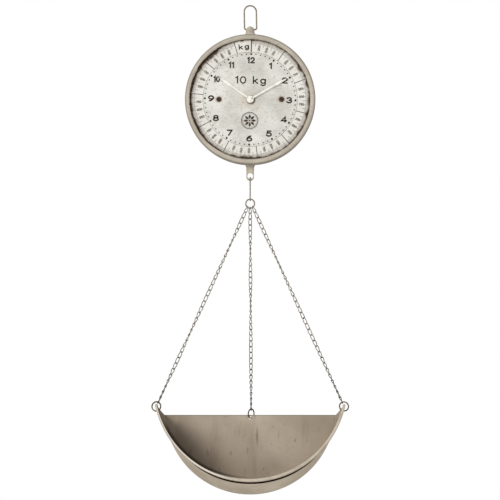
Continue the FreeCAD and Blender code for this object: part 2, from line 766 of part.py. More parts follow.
def motion_work():
    """The cannon pinion, minute wheel, hour wheel and setting knob."""
    thick = float(wheel_thickness)
    arbor = float(arbor_radius)
    pipe_radius = 1.5
    hub_radius = 0.95
    cannon_phase = 0
    minute_phase = mating_phase(cannon_phase, 10, 0, 30)
    pinion_phase = 0
    hour_phase = mating_phase(pinion_phase, 8, 180, 32)
    knob_phase = mating_phase(minute_phase, 30, 0, 10)
    wheel("cannon_pinion", (0, 0), [
        rod(pipe_radius, HAND_SHOULDER, MINUTE_LEVEL),
        rod(thread_radius, THREAD_END, HAND_SHOULDER),
        toothed(10, MOTION_MODULE, thick, cannon_phase, MINUTE_LEVEL),
        rod(hub_radius, MINUTE_LEVEL, CENTRE_LEVEL + 0.9),
        rod(arbor, CENTRE_LEVEL + 0.9, MIDDLE_PLATE + 0.4)])
    wheel("minute_wheel", MINUTE_WHEEL, [
        rod(arbor, HOUR_LEVEL - 0.8, MINUTE_LEVEL),
        toothed(8, MOTION_MODULE, 1.0, pinion_phase, HOUR_LEVEL),
        toothed(30, MOTION_MODULE, thick, minute_phase, MINUTE_LEVEL)])
    hour_pipe = 2.5
    wheel("hour_wheel", (0, 0), [
        rod(hour_pipe, HOUR_HAND_FRONT, HOUR_LEVEL),
        toothed(32, MOTION_MODULE, thick, hour_phase, HOUR_LEVEL)],
        [rod(pipe_radius + 0.1, HOUR_HAND_FRONT - 1, HOUR_LEVEL + 2)])
    knob_front = float(movement_back) + 0.4
    knob_radius = 5.5
    knob_thickness = 3.0
    wheel("setting_knob", (knob_x, 0), [
        toothed(10, MOTION_MODULE, thick, knob_phase, MINUTE_LEVEL),
        rod(1.0, MINUTE_LEVEL, knob_front),
        rod(knob_radius, knob_front, knob_front + knob_thickness)])


def going_train():
    """From the rotor, through the fifth, fourth and third wheels, to the centre wheel."""
    thick = float(wheel_thickness)
    arbor = float(arbor_radius)
    rear_pivot = float(cavity_back) + 0.6
    third_pinion_phase = 0
    centre_phase = mating_phase(third_pinion_phase, 8, 270, 64)
    fourth_pinion_phase = 0
    third_phase = mating_phase(fourth_pinion_phase, 8, 90, 60)
    fourth_phase = 0
    fifth_pinion_phase = mating_phase(fourth_phase, 60, FIFTH_ANGLE, 10)
    fifth_phase = 0
    rotor_phase = mating_phase(fifth_phase, 30, ROTOR_ANGLE, 6)
    wheel("centre_wheel", (0, 0), [
        toothed(64, GOING_MODULE_CENTRE, thick, centre_phase, CENTRE_LEVEL)],
        [rod(1.0, CENTRE_LEVEL - 1, CENTRE_LEVEL + 2)])
    wheel("third_wheel", THIRD_WHEEL, [
        rod(arbor, float(cavity_front) - 0.7, rear_pivot),
        toothed(8, GOING_MODULE_CENTRE, 1.0, third_pinion_phase, CENTRE_LEVEL),
        toothed(60, GOING_MODULE_THIRD, thick, third_phase, THIRD_LEVEL)])
    wheel("fourth_wheel", FOURTH_WHEEL, [
        rod(arbor, MIDDLE_PLATE + 0.6, rear_pivot),
        toothed(8, GOING_MODULE_THIRD, 1.0, fourth_pinion_phase, THIRD_LEVEL),
        toothed(60, GOING_MODULE_FIFTH, thick, fourth_phase, FOURTH_LEVEL)])
    wheel("fifth_wheel", FIFTH_WHEEL, [
        rod(arbor, MIDDLE_PLATE + 0.3, rear_pivot),
        toothed(10, GOING_MODULE_FIFTH, 1.0, fifth_pinion_phase, FOURTH_LEVEL),
        toothed(30, ROTOR_MODULE, thick, fifth_phase, FIFTH_LEVEL)])
    wheel("rotor", ROTOR, [
        rod(arbor, MIDDLE_PLATE + 0.3, rear_pivot),
        toothed(6, ROTOR_MODULE, 1.0, rotor_phase, FIFTH_LEVEL),
        rod(MAGNET_RADIUS, MAGNET_LEVEL, MAGNET_LEVEL + 2.6)])


# ---------------------------------------------------------------- hands

HOUR_HAND_FRONT = float(movement_front) - 5.0
MINUTE_HAND_FRONT = HOUR_HAND_FRONT - 0.8
HAND_SHOULDER = MINUTE_HAND_FRONT + 0.5
THREAD_END = MINUTE_HAND_FRONT - 1.2
MINUTE_HAND_ANGLE = 60
HOUR_HAND_ANGLE = 305


def hand(label, length, leaf_start, leaf_width, front, hub_radius, bore_radius, clock_angle):
    """A thin shaft, a long narrow leaf and a fine tip, cut from flat sheet."""
    shaft = 0.9
    leaf = leaf_width / 2
    widest = leaf_start + (length - leaf_start) * 0.28
    leaf_end = leaf_start + (length - leaf_start) * 0.62
    tip = 0.35
    outline = [(-shaft, 0), (-shaft, leaf_start), (-leaf, widest), (-shaft, leaf_end), (-tip, length),
               (tip, length), (shaft, leaf_end), (leaf, widest), (shaft, leaf_start), (shaft, 0)]
    blade = plate(label + "_blade", outline, front, hand_thickness, z=case_z,
                  turn=Rotation(Vector(0, 1, 0), clock_angle))
    hub = cylinder(label + "_hub", hub_radius, hand_thickness, 0, front, case_z)
    bore = cylinder(label + "_bore", bore_radius, 4, 0, front - 1, case_z)
    name = label.title().replace("_", "")
    keep(cut(name, fuse(label + "_blank", [blade, hub]), bore), label)


def hands():
    """The two hands and the cap nut that holds the minute hand."""
    hand("hour_hand", hour_hand_length, 42.0, 5.0, HOUR_HAND_FRONT, 6.0, 2.5, HOUR_HAND_ANGLE)
    hand("minute_hand", minute_hand_length, 50.0, 4.4, MINUTE_HAND_FRONT, 5.0, thread_radius,
         MINUTE_HAND_ANGLE)
    cap_radius = 2.6
    cap_height = 1.3
    cap = cylinder("cap_nut_body", cap_radius, cap_height, 0, MINUTE_HAND_FRONT - cap_height, case_z)
    thread = cylinder("cap_nut_thread", thread_radius, 2 * cap_height, 0, THREAD_END, case_z)
    keep(cut("CapNut", cap, thread), "hand_cap_nut")


# ---------------------------------------------------------------- load hook, rings and chains

def load_hook():
    """Round wire with an eye through the bottom lug and a small eye for the load ring."""
    rise_above_ring = 0.3
    lower_z = load_ring_radius - load_ring_drop + rise_above_ring
    shank_top = -hook_eye_drop - hook_eye_radius
    shank_bottom = lower_z + hook_lower_eye_radius
    upper = ring("hook_upper_eye", hook_eye_radius, hook_wire_radius, 0, 0, -hook_eye_drop,
                 IN_SIDE_PLANE, start=-90, sweep=330)
    shank = cylinder("hook_shank", hook_wire_radius, shank_top - shank_bottom,
                     0, 0, shank_bottom, TO_Z)
    lower = ring("hook_lower_eye", hook_lower_eye_radius, hook_wire_radius, 0, 0, lower_z,
                 IN_SIDE_PLANE)
    keep(fuse("Hook", [upper, shank, lower]), "load_hook")
    keep(ring("LoadRing", load_ring_radius, wire_radius, 0, 0, -load_ring_drop), "load_ring")


def chain_link(inner_length):
    """One link: two straight legs and two half-round ends, long along Z and wide along X."""
    wire = float(link_wire_radius)
    half = float(link_width) / 2 - wire
    straight = inner_length + 2 * wire - 2 * half
    top_end = Part.makeTorus(half, wire, Vector(), Vector(0, 1, 0))
    upper_side = Part.makeBox(20, 20, 20, Vector(-10, -10, 0))
    end = top_end.common(upper_side)
    top = end.translated(Vector(0, 0, straight / 2))
    bottom = end.mirror(Vector(), Vector(0, 0, 1)).translated(Vector(0, 0, -straight / 2))
    legs = [Part.makeCylinder(wire, straight, Vector(side * half, 0, -straight / 2))
            for side in (-1, 1)]
    return top.multiFuse([bottom] + legs)


def chain(label, start, end, first_across, last_across):
    """Links hung from the wire at start to the wire at end, each turned a quarter from the last.

    first_across and last_across are the directions that the wires run in. An odd number of
    links makes the first and the last stand square to their wires, and the links between share
    out the twist from one to the other.
    """
    reach = end - start
    along = Vector(reach).normalize()
    hold = float(wire_radius) + float(link_clearance)
    links = 2 * round((reach.Length / float(link_pitch) - 1) / 2) + 1
    pitch = (reach.Length + 2 * hold - float(link_clearance)) / links
    inner_length = pitch + float(link_clearance)
    pattern = chain_link(inner_length)
    first_normal = (first_across - along * first_across.dot(along)).normalize()
    last_normal = (last_across - along * last_across.dot(along)).normalize()
    twist = math.degrees(math.atan2(first_normal.cross(last_normal).dot(along),
                                    first_normal.dot(last_normal)))
    members = []
    for number in range(links):
        centre = start + along * (inner_length / 2 - hold + number * pitch)
        turn = Rotation(along, 90 * number + twist * number / (links - 1))
        normal = turn.multVec(first_normal)
        wide = normal.cross(along)
        frame = Rotation(wide, normal, along, "ZYX")
        link = pattern.copy()
        link.Placement = Placement(centre, frame)
        members.append(link)
    obj = made(label.title().replace("_", ""), Part.makeCompound(members))
    return keep(obj, label)


def ear_place(side):
    """Where the wire of a side ring goes through the hole in the ear."""
    share = float(ear_hole_setback) / float(pan_depth)
    radius = float(mouth_radius) + share * (float(back_wall_radius) - float(mouth_radius))
    centre = -float(mouth_centre_drop) - share * (float(back_centre_drop) - float(mouth_centre_drop))
    height = -float(ear_hole_drop)
    across = math.sqrt(radius ** 2 - (height - centre) ** 2)
    return Vector(side * across, float(pan_front) + float(ear_hole_setback), height)


SIDE_RING_TILT = 21
LOAD_RING_SPREAD = 37


def side_chain(label, side):
    """A side ring in the ear of the pan, and the chain from it up to the load ring."""
    radius = float(ring_radius)
    tilt = math.radians(SIDE_RING_TILT)
    middle = ear_place(side) + Vector(side * radius * math.sin(tilt), 0, radius * math.cos(tilt))
    obj = ring(label.title() + "Ring", ring_radius, wire_radius, middle.x, middle.y, middle.z)
    keep(obj, label + "_ring")
    spread = math.radians(LOAD_RING_SPREAD)
    load = float(load_ring_radius)
    start = Vector(side * load * math.sin(spread), 0,
                   -float(load_ring_drop) - load * math.cos(spread))
    pull = Vector(start.x - middle.x, 0, start.z - middle.z).normalize()
    end = middle + pull * radius
    first_across = Vector(math.cos(spread), 0, side * math.sin(spread))
    last_across = Vector(pull.z, 0, -pull.x)
    chain(label + "_chain", start, end, first_across, last_across)


BACK_HOLE_BELOW_EDGE = 5.0
BACK_RING_TURN = 50
BACK_RING_LEAN = 20


def back_hole_place():
    return Vector(0, float(pan_back_face) + float(pan_sheet) / 2,
                  -float(back_edge_drop) - BACK_HOLE_BELOW_EDGE)


def back_chain():
    """The back ring in the back wall of the pan, and the chain from it up to the load ring."""
    radius = float(ring_radius)
    turn = math.radians(BACK_RING_TURN)
    across = Vector(math.cos(turn), math.sin(turn), 0)
    lean = math.radians(BACK_RING_LEAN)
    middle = back_hole_place() + across * (radius * math.sin(lean)) + Vector(0, 0, radius * math.cos(lean))
    plane = Rotation(Vector(0, 0, 1), BACK_RING_TURN) * IN_FRONTAL_PLANE
    obj = ring("BackRing", ring_radius, wire_radius, middle.x, middle.y, middle.z, plane)
    keep(obj, "back_ring")
    start = Vector(0, 0, -float(load_ring_drop) - float(load_ring_radius))
    end = middle + Vector(0, 0, radius)
    chain("back_chain", start, end, Vector(1, 0, 0), across)


# ---------------------------------------------------------------- pan

def segment_sketch(name, radius, centre_drop, edge_drop, y):
    """A circular arc that hangs below a level line."""
    sketch = doc.addObject("Sketcher::SketchObject", name)
    sketch.Placement = Placement(Vector(0, float(y), 0), IN_FRONTAL_PLANE)
    sketch.setExpression("Placement.Base.y", as_size(y).text)
    middle = Vector(0, -float(centre_drop), 0)
    below = float(edge_drop) - float(centre_drop)
    dip = math.asin(below / float(radius))
    circle = Part.Circle(middle, Vector(0, 0, 1), float(radius))
    sketch.addGeometry(Part.ArcOfCircle(circle, math.pi + dip, 2 * math.pi - dip))
    half = float(radius) * math.cos(dip)
    edge_z = -float(edge_drop)
    sketch.addGeometry(Part.LineSegment(Vector(half, edge_z, 0), Vector(-half, edge_z, 0)))
    sketch.addConstraint(Sketcher.Constraint("Coincident", 0, 2, 1, 1))
    sketch.addConstraint(Sketcher.Constraint("Coincident", 1, 2, 0, 1))
    sketch.addConstraint(Sketcher.Constraint("Horizontal", 1))
    sketch.addConstraint(Sketcher.Constraint("DistanceX", -1, 1, 0, 3, 0.0))
    depth = sketch.addConstraint(Sketcher.Constraint("DistanceY", -1, 1, 0, 3, -float(centre_drop)))
    sketch.setExpression(f"Constraints[{depth}]", (-centre_drop).text)
    size = sketch.addConstraint(Sketcher.Constraint("Radius", 0, float(radius)))
    sketch.setExpression(f"Constraints[{size}]", as_size(radius).text)
    edge = sketch.addConstraint(Sketcher.Constraint("DistanceY", -1, 1, 1, 1, edge_z))
    sketch.setExpression(f"Constraints[{edge}]", (-edge_drop).text)
    return sketch


def lofted(name, growth, lift):
    """The solid between the mouth and the back of the pan, grown all round and with a raised lid."""
    front = segment_sketch(name + "_mouth", mouth_radius + growth, mouth_centre_drop,
                           ear_drop - lift, pan_front)
    back = segment_sketch(name + "_back", back_wall_radius + growth, back_centre_drop,
                          back_edge_drop - lift, pan_back_face)
    loft = doc.addObject("Part::Loft", name)
    loft.Sections = [front, back]
    loft.Solid = True
    loft.Ruled = True
    return loft


def pan():
    """A half-round trough that narrows to a flat back wall, with a wired bead round its mouth."""
    half_sheet = pan_sheet / 2
    outer = lofted("pan_outside", half_sheet, as_size(0))
    inner = lofted("pan_inside", -half_sheet, as_size(6))
    reach = 2 * mouth_radius + 20
    ear = ear_place(1)
    ear_holes = cylinder("pan_ear_holes", ear_hole_radius, reach, -reach / 2, ear.y, ear.z, TO_X)
    trough = cut("pan_shell", outer, inner)
    keep(cut("Trough", trough, ear_holes), "pan_trough")
    wall_sketch = segment_sketch("pan_back_outline", back_wall_radius + half_sheet,
                                 back_centre_drop, back_edge_drop, pan_back_face)
    wall = doc.addObject("Part::Extrusion", "pan_back_wall")
    wall.Base = wall_sketch
    wall.DirMode = "Custom"
    wall.Dir = Vector(0, 1, 0)
    wall.setExpression("LengthFwd", pan_sheet.text)
    wall.Solid = True
    hole = back_hole_place()
    ring_hole = cylinder("pan_back_hole", ear_hole_radius, 6, hole.x, hole.y - 3, hole.z)
    keep(cut("BackWall", wall, ring_hole), "pan_back")
    dip = math.degrees(math.asin((float(ear_drop) - float(mouth_centre_drop)) / float(mouth_radius)))
    wire = ring("bead_wire", mouth_radius, bead_radius, 0, pan_front, -mouth_centre_drop,
                start=180 + dip, sweep=180 - 2 * dip)
    keep(cut("Bead", wire, lofted_shell_for_bead()), "rim_bead")


def lofted_shell_for_bead():
    """The edge of the trough, which the bead is rolled round."""
    return cut("bead_slot", lofted("bead_slot_outside", pan_sheet / 2, as_size(5)),
               lofted("bead_slot_inside", -pan_sheet / 2, as_size(10)))


# ---------------------------------------------------------------- build, check and write

hanging_bail()
top_lug()
bottom_lug()
case_drum()
front_bezel()
dial_plate()
dial_fixings()
back_plate()
movement_front_shell()
movement_rear_shell()
movement_middle_plate()
movement_fixings()
coil_and_stator()
circuit()
battery_and_contacts()
motion_work()
going_train()
hands()
load_hook()
side_chain("left", -1)
side_chain("right", 1)
back_chain()
pan()
doc.recompute()

for obj in doc.Objects:
    if "Invalid" in obj.State or "Error" in obj.State:
        raise RuntimeError(f"{obj.Label} failed: {obj.State}")
for piece in pieces:
    if piece.Shape.isNull() or not piece.Shape.isValid():
        raise RuntimeError(f"{piece.Label} has no valid shape")

os.makedirs("parts", exist_ok=True)
for piece in pieces:
    piece.Shape.exportStep(f"parts/{piece.Label}.step")
    print(f"{piece.Label}: {len(piece.Shape.Solids)} solids, {piece.Shape.Volume:.1f} mm3")
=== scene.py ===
import math
import bpy
from mathutils import Matrix, Vector


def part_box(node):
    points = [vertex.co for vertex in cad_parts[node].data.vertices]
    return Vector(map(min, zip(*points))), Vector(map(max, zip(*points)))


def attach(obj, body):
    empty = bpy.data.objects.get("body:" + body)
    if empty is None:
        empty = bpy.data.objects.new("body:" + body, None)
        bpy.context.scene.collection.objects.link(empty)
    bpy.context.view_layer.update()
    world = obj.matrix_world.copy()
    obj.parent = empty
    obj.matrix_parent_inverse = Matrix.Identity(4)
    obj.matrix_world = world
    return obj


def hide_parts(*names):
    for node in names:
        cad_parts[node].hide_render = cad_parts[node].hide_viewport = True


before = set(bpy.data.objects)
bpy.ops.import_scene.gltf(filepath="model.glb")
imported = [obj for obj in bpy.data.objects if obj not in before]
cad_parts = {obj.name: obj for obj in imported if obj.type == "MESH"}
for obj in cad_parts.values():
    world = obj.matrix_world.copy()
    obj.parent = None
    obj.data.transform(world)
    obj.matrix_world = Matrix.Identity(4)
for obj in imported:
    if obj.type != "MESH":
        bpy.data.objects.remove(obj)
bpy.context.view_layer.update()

TURN = 2 * math.pi


# ---------------------------------------------------------------- places worked out from the frame

def middle_of(node):
    """The centre of the box round a CAD node."""
    low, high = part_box(node)
    return (low + high) / 2


def size_of(node):
    """The three sizes of the box round a CAD node."""
    low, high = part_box(node)
    return high - low


def ring_measures(node):
    """Centre, radius to the middle of the wire, and wire radius of a ring that stands in the XZ plane."""
    size = size_of(node)
    wire = size.y / 2
    return middle_of(node), size.x / 2 - wire, wire


def circle_through(half_width, edge, bottom):
    """Radius and centre height of the arc that hangs from a level edge down to its lowest point."""
    rise = edge - bottom
    radius = (half_width ** 2 + rise ** 2) / (2 * rise)
    return radius, bottom + radius


# The case and its dial.
CASE_RADIUS = size_of("back_plate").x / 2
CASE_Z = middle_of("back_plate").z
DIAL_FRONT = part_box("dial_plate")[0].y
CASE_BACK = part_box("back_plate")[1].y
BEZEL_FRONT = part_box("front_bezel")[0].y
BEZEL_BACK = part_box("front_bezel")[1].y
BEZEL_OUTER = size_of("front_bezel").x / 2
BEZEL_TUBE = BEZEL_BACK - BEZEL_FRONT
VISIBLE_RADIUS = BEZEL_OUTER - 2 * BEZEL_TUBE
SCALE_INNER = VISIBLE_RADIUS * 0.790
SCREW_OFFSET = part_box("dial_screws")[1].x - size_of("dial_screws").z / 2
DIAL_TURN = 1.3

# The pan: its mouth is at the front, with an ear at each end, and its wall at the back.
SHEET = size_of("pan_back").y
BEAD = size_of("rim_bead").y / 2
MOUTH_Y = middle_of("rim_bead").y
MOUTH_HALF = size_of("pan_trough").x / 2
EAR_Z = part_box("pan_trough")[1].z
BACK_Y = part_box("pan_back")[0].y
BACK_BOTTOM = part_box("pan_back")[0].z
EDGE_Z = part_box("pan_back")[1].z
MOUTH_RADIUS, MOUTH_CENTRE = circle_through(MOUTH_HALF - SHEET / 2, EAR_Z,
                                            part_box("rim_bead")[0].z + BEAD)
WALL_RADIUS, WALL_CENTRE = circle_through(size_of("pan_back").x / 2, EDGE_Z, BACK_BOTTOM)
HOLE_RADIUS = 0.0025
EAR_HOLE_Y = middle_of("left_ring").y
EAR_HOLE_Z = EAR_Z - 0.0101
BACK_HOLE_Z = EDGE_Z - 0.005


def on_dial(radius, clock_degrees, proud=0.0):
    """A point of the dial at a clock angle from its twelve, which sits slightly clockwise of upright."""
    angle = math.radians(clock_degrees + DIAL_TURN)
    return Vector((radius * math.sin(angle), DIAL_FRONT - proud, CASE_Z + radius * math.cos(angle)))


# ---------------------------------------------------------------- making meshes

def piece_from_mesh(name, mesh, materials, body, slot, replaced=(), smooth=True, crisp=None,
                    shades=None):
    """A finished piece: its materials, the body it rides on and the CAD nodes it stands for.

    Where there are several materials, shades says which of them each face has.
    """
    piece = bpy.data.objects.new(name, mesh)
    bpy.context.collection.objects.link(piece)
    if smooth:
        mesh.polygons.foreach_set("use_smooth", [True] * len(mesh.polygons))
    mesh.materials.clear()
    for material in materials:
        mesh.materials.append(material)
    if shades:
        mesh.polygons.foreach_set("material_index", shades)
    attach(piece, body)
    if replaced:
        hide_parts(*replaced)
    if crisp:
        sharpen(piece, crisp)
    return piece


def piece_from_shape(name, shape, material, *where, **looks):
    """A finished piece from a list of points and a list of faces."""
    return piece_from_mesh(name, mesh_of(name, *shape), [material], *where, **looks)


def sharpen(piece, degrees):
    """Smooth shading that keeps the corners crisp where faces turn by more than an angle."""
    mesh = piece.data
    mesh.update()
    normals = {}
    for polygon in mesh.polygons:
        for key in polygon.edge_keys:
            normals.setdefault(key, []).append(polygon.normal)
    limit = math.cos(math.radians(degrees))
    marks = []
    for edge in mesh.edges:
        beside = normals.get(tuple(sorted(edge.vertices)), ())
        marks.append(len(beside) == 2 and beside[0].dot(beside[1]) < limit)
    attribute = mesh.attributes.new("sharp_edge", "BOOLEAN", "EDGE")
    attribute.data.foreach_set("value", marks)


def mesh_of(name, points, faces):
    """A mesh from points and faces, turned so that its faces look outwards."""
    mesh = bpy.data.meshes.new(name)
    mesh.from_pydata([tuple(point) for point in points], [], faces)
    mesh.validate()
    middle = sum((vertex.co for vertex in mesh.vertices), Vector()) / len(mesh.vertices)
    volume = 0.0
    for polygon in mesh.polygons:
        corners = [mesh.vertices[index].co - middle for index in polygon.vertices]
        for second, third in zip(corners[1:], corners[2:]):
            volume += corners[0].dot(second.cross(third))
    if volume < 0:
        mesh.flip_normals()
    mesh.update()
    return mesh


def join(parts):
    """One list of points and faces from several."""
    points = []
    faces = []
    for more_points, more_faces in parts:
        start = len(points)
        points.extend(more_points)
        faces.extend([[start + index for index in face] for face in more_faces])
    return points, faces


def grid_faces(rows, columns, close_rows=False, close_columns=False):
    """Four-sided faces over a grid of points stored row by row."""
    faces = []
    for row in range(rows if close_rows else rows - 1):
        for column in range(columns if close_columns else columns - 1):
            here = row * columns + column
            right = row * columns + (column + 1) % columns
            above = ((row + 1) % rows) * columns
            faces.append([here, right, above + (column + 1) % columns, above + column])
    return faces


def tube(path, radius, sides=14, closed=False, radius_at=None):
    """Round wire along a path; an open wire ends in small rounded caps."""
    count = len(path)
    points = []
    previous_normal = None
    for index, point in enumerate(path):
        if closed:
            along = path[(index + 1) % count] - path[index - 1]
        else:
            along = path[min(index + 1, count - 1)] - path[max(index - 1, 0)]
        along.normalize()
        if previous_normal is None:
            helper = Vector((0, 1, 0)) if abs(along.y) < 0.9 else Vector((1, 0, 0))
            normal = along.cross(helper).normalized()
        else:
            normal = (previous_normal - along * previous_normal.dot(along)).normalized()
        previous_normal = normal
        across = along.cross(normal)
        thick = radius * (radius_at(index / (count - 1)) if radius_at else 1)
        for side in range(sides):
            angle = TURN * side / sides
            points.append(point + (normal * math.cos(angle) + across * math.sin(angle)) * thick)
    faces = grid_faces(count, sides, close_rows=closed, close_columns=True)
    if not closed:
        for row, direction in ((0, -1), (count - 1, 1)):
            centre = path[row]
            outward = (path[row] - path[row - direction]).normalized()
            first = row * sides
            rim = len(points)
            for side in range(sides):
                points.append(centre + (points[first + side] - centre) * 0.6 + outward * radius * 0.5)
            tip = len(points)
            points.append(centre + outward * radius * 0.65)
            for side in range(sides):
                here, following = side, (side + 1) % sides
                if row == 0:
                    here, following = following, here
                faces.append([first + here, first + following, rim + following, rim + here])
                faces.append([rim + here, rim + following, tip])
    return points, faces


def lathe(profile, centre, axis="Y", segments=192):
    """A closed profile of radius and height turned about an axis through centre."""
    points = []
    for step in range(segments):
        angle = TURN * step / segments
        for radius, height in profile:
            if axis == "Y":
                offset = Vector((radius * math.cos(angle), height, radius * math.sin(angle)))
            else:
                offset = Vector((radius * math.cos(angle), radius * math.sin(angle), height))
            points.append(centre + offset)
    return points, grid_faces(segments, len(profile), close_rows=True, close_columns=True)


def arc(centre, radius, start, end, steps):
    """Points of a circular arc in a plane, from start to end in degrees."""
    points = []
    for step in range(steps + 1):
        angle = math.radians(start + (end - start) * step / steps)
        points.append((centre[0] + radius * math.cos(angle), centre[1] + radius * math.sin(angle)))
    return points


def flat_plate(name, outlines, front, thickness, edge):
    """A flat piece with rounded edges in the XZ plane; outlines after the first are holes."""
    curve = bpy.data.curves.new(name, "CURVE")
    curve.dimensions = "2D"
    curve.fill_mode = "BOTH"
    curve.extrude = thickness / 2 - edge
    curve.bevel_depth = edge
    curve.bevel_resolution = 2
    curve.offset = -edge
    for outline in outlines:
        spline = curve.splines.new("POLY")
        spline.points.add(len(outline) - 1)
        for point, (x, z) in zip(spline.points, outline):
            point.co = (x, z, 0, 1)
        spline.use_cyclic_u = True
    mesh = mesh_from_curve(curve)
    upright = Matrix.Rotation(math.pi / 2, 4, "X")
    mesh.transform(Matrix.Translation((0, front + thickness / 2, 0)) @ upright)
    return mesh


def mesh_from_curve(curve):
    """The mesh of a curve or text, made through a passing object."""
    holder = bpy.data.objects.new("passing", curve)
    bpy.context.collection.objects.link(holder)
    graph = bpy.context.evaluated_depsgraph_get()
    mesh = bpy.data.meshes.new_from_object(holder.evaluated_get(graph))
    bpy.data.objects.remove(holder)
    return mesh


def oval(x, y, wide, high, start=0, end=360, steps=24):
    """Points of an oval stroke with its centre at x, y."""
    return [(x + wide * cosine, y + high * sine)
            for cosine, sine in arc((0, 0), 1, start, end, steps)]


STROKES = {
    # The pen strokes of each figure, in a box 0.62 wide and 1 high.
    "0": [oval(0.31, 0.5, 0.31, 0.5, steps=32)],
    "1": [[(0.0, 0.84), (0.20, 1.0), (0.20, 0.0)]],
    "2": [oval(0.31, 0.71, 0.30, 0.29, 172, -42, 16) + [(0.02, 0.0), (0.62, 0.0)]],
    "3": [oval(0.30, 0.755, 0.27, 0.245, 160, -90, 16), oval(0.30, 0.255, 0.31, 0.255, 90, -160, 18)],
    "4": [[(0.48, 0.0), (0.48, 1.0), (0.0, 0.27), (0.66, 0.27)]],
    "5": [[(0.56, 1.0), (0.12, 1.0), (0.08, 0.56)] + oval(0.29, 0.32, 0.32, 0.32, 128, -152, 18)],
    "6": [oval(0.31, 0.30, 0.31, 0.30), [(0.50, 0.97), (0.27, 0.88), (0.08, 0.62), (0.0, 0.32)]],
    "7": [[(0.02, 1.0), (0.60, 1.0), (0.20, 0.0)]],
    "8": [oval(0.31, 0.765, 0.26, 0.235, steps=22), oval(0.31, 0.265, 0.31, 0.265)],
    "9": [oval(0.31, 0.70, 0.31, 0.30), [(0.12, 0.03), (0.35, 0.12), (0.54, 0.38), (0.62, 0.68)]],
    "k": [[(0.04, 0.0), (0.04, 1.08)], [(0.50, 0.68), (0.08, 0.30)], [(0.20, 0.41), (0.54, 0.0)]],
    "g": [oval(0.29, 0.36, 0.27, 0.32, steps=22),
          [(0.56, 0.68), (0.56, -0.04)] + oval(0.29, -0.06, 0.27, 0.25, 0, -150, 12)],
    " ": []}
NARROW = {" ": 0.30, "1": 0.26}
LETTER_WIDTH = 0.62
LETTER_GAP = 0.30


def ribbon(path, half):
    """A flat stroke with round ends along a path in the plane."""
    line = [Vector(point) for point in path]
    closed = (line[0] - line[-1]).length < 1e-6
    if closed:
        line = line[:-1]
    count = len(line)
    points = []
    for index, point in enumerate(line):
        before = line[index - 1] if closed or index else None
        after = line[(index + 1) % count] if closed or index < count - 1 else None
        first = (point - before).normalized() if before else (after - point).normalized()
        second = (after - point).normalized() if after else first
        across = Vector((-first.y - second.y, first.x + second.x)).normalized()
        widen = 1 / max(0.45, across.dot(Vector((-first.y, first.x))))
        points += [point + across * half * widen, point - across * half * widen]
    faces = grid_faces(count, 2, close_rows=closed)
    if not closed:
        for end, other in ((0, 1), (count - 1, count - 2)):
            outward = line[end] - line[other]
            start = len(points)
            aim = math.atan2(outward.y, outward.x)
            for x, y in arc((0, 0), half, math.degrees(aim) - 90, math.degrees(aim) + 90, 8):
                points.append(line[end] + Vector((x, y)))
            faces.append(list(range(start, len(points))))
    return points, faces


def lettering(text, height, width=1.0, weight=0.13):
    """Figures drawn with a round pen, centred on the origin: points and faces in the plane."""
    parts = []
    pen = 0.0
    for character in text:
        for stroke in STROKES[character]:
            path = [((pen + x) * height * width, y * height) for x, y in stroke]
            parts.append(ribbon(path, weight * height / 2))
        pen += NARROW.get(character, LETTER_WIDTH) + LETTER_GAP
    points, faces = join(parts)
    middle_x = (min(point.x for point in points) + max(point.x for point in points)) / 2
    return [(point.x - middle_x, point.y - height / 2) for point in points], faces


# ---------------------------------------------------------------- making materials

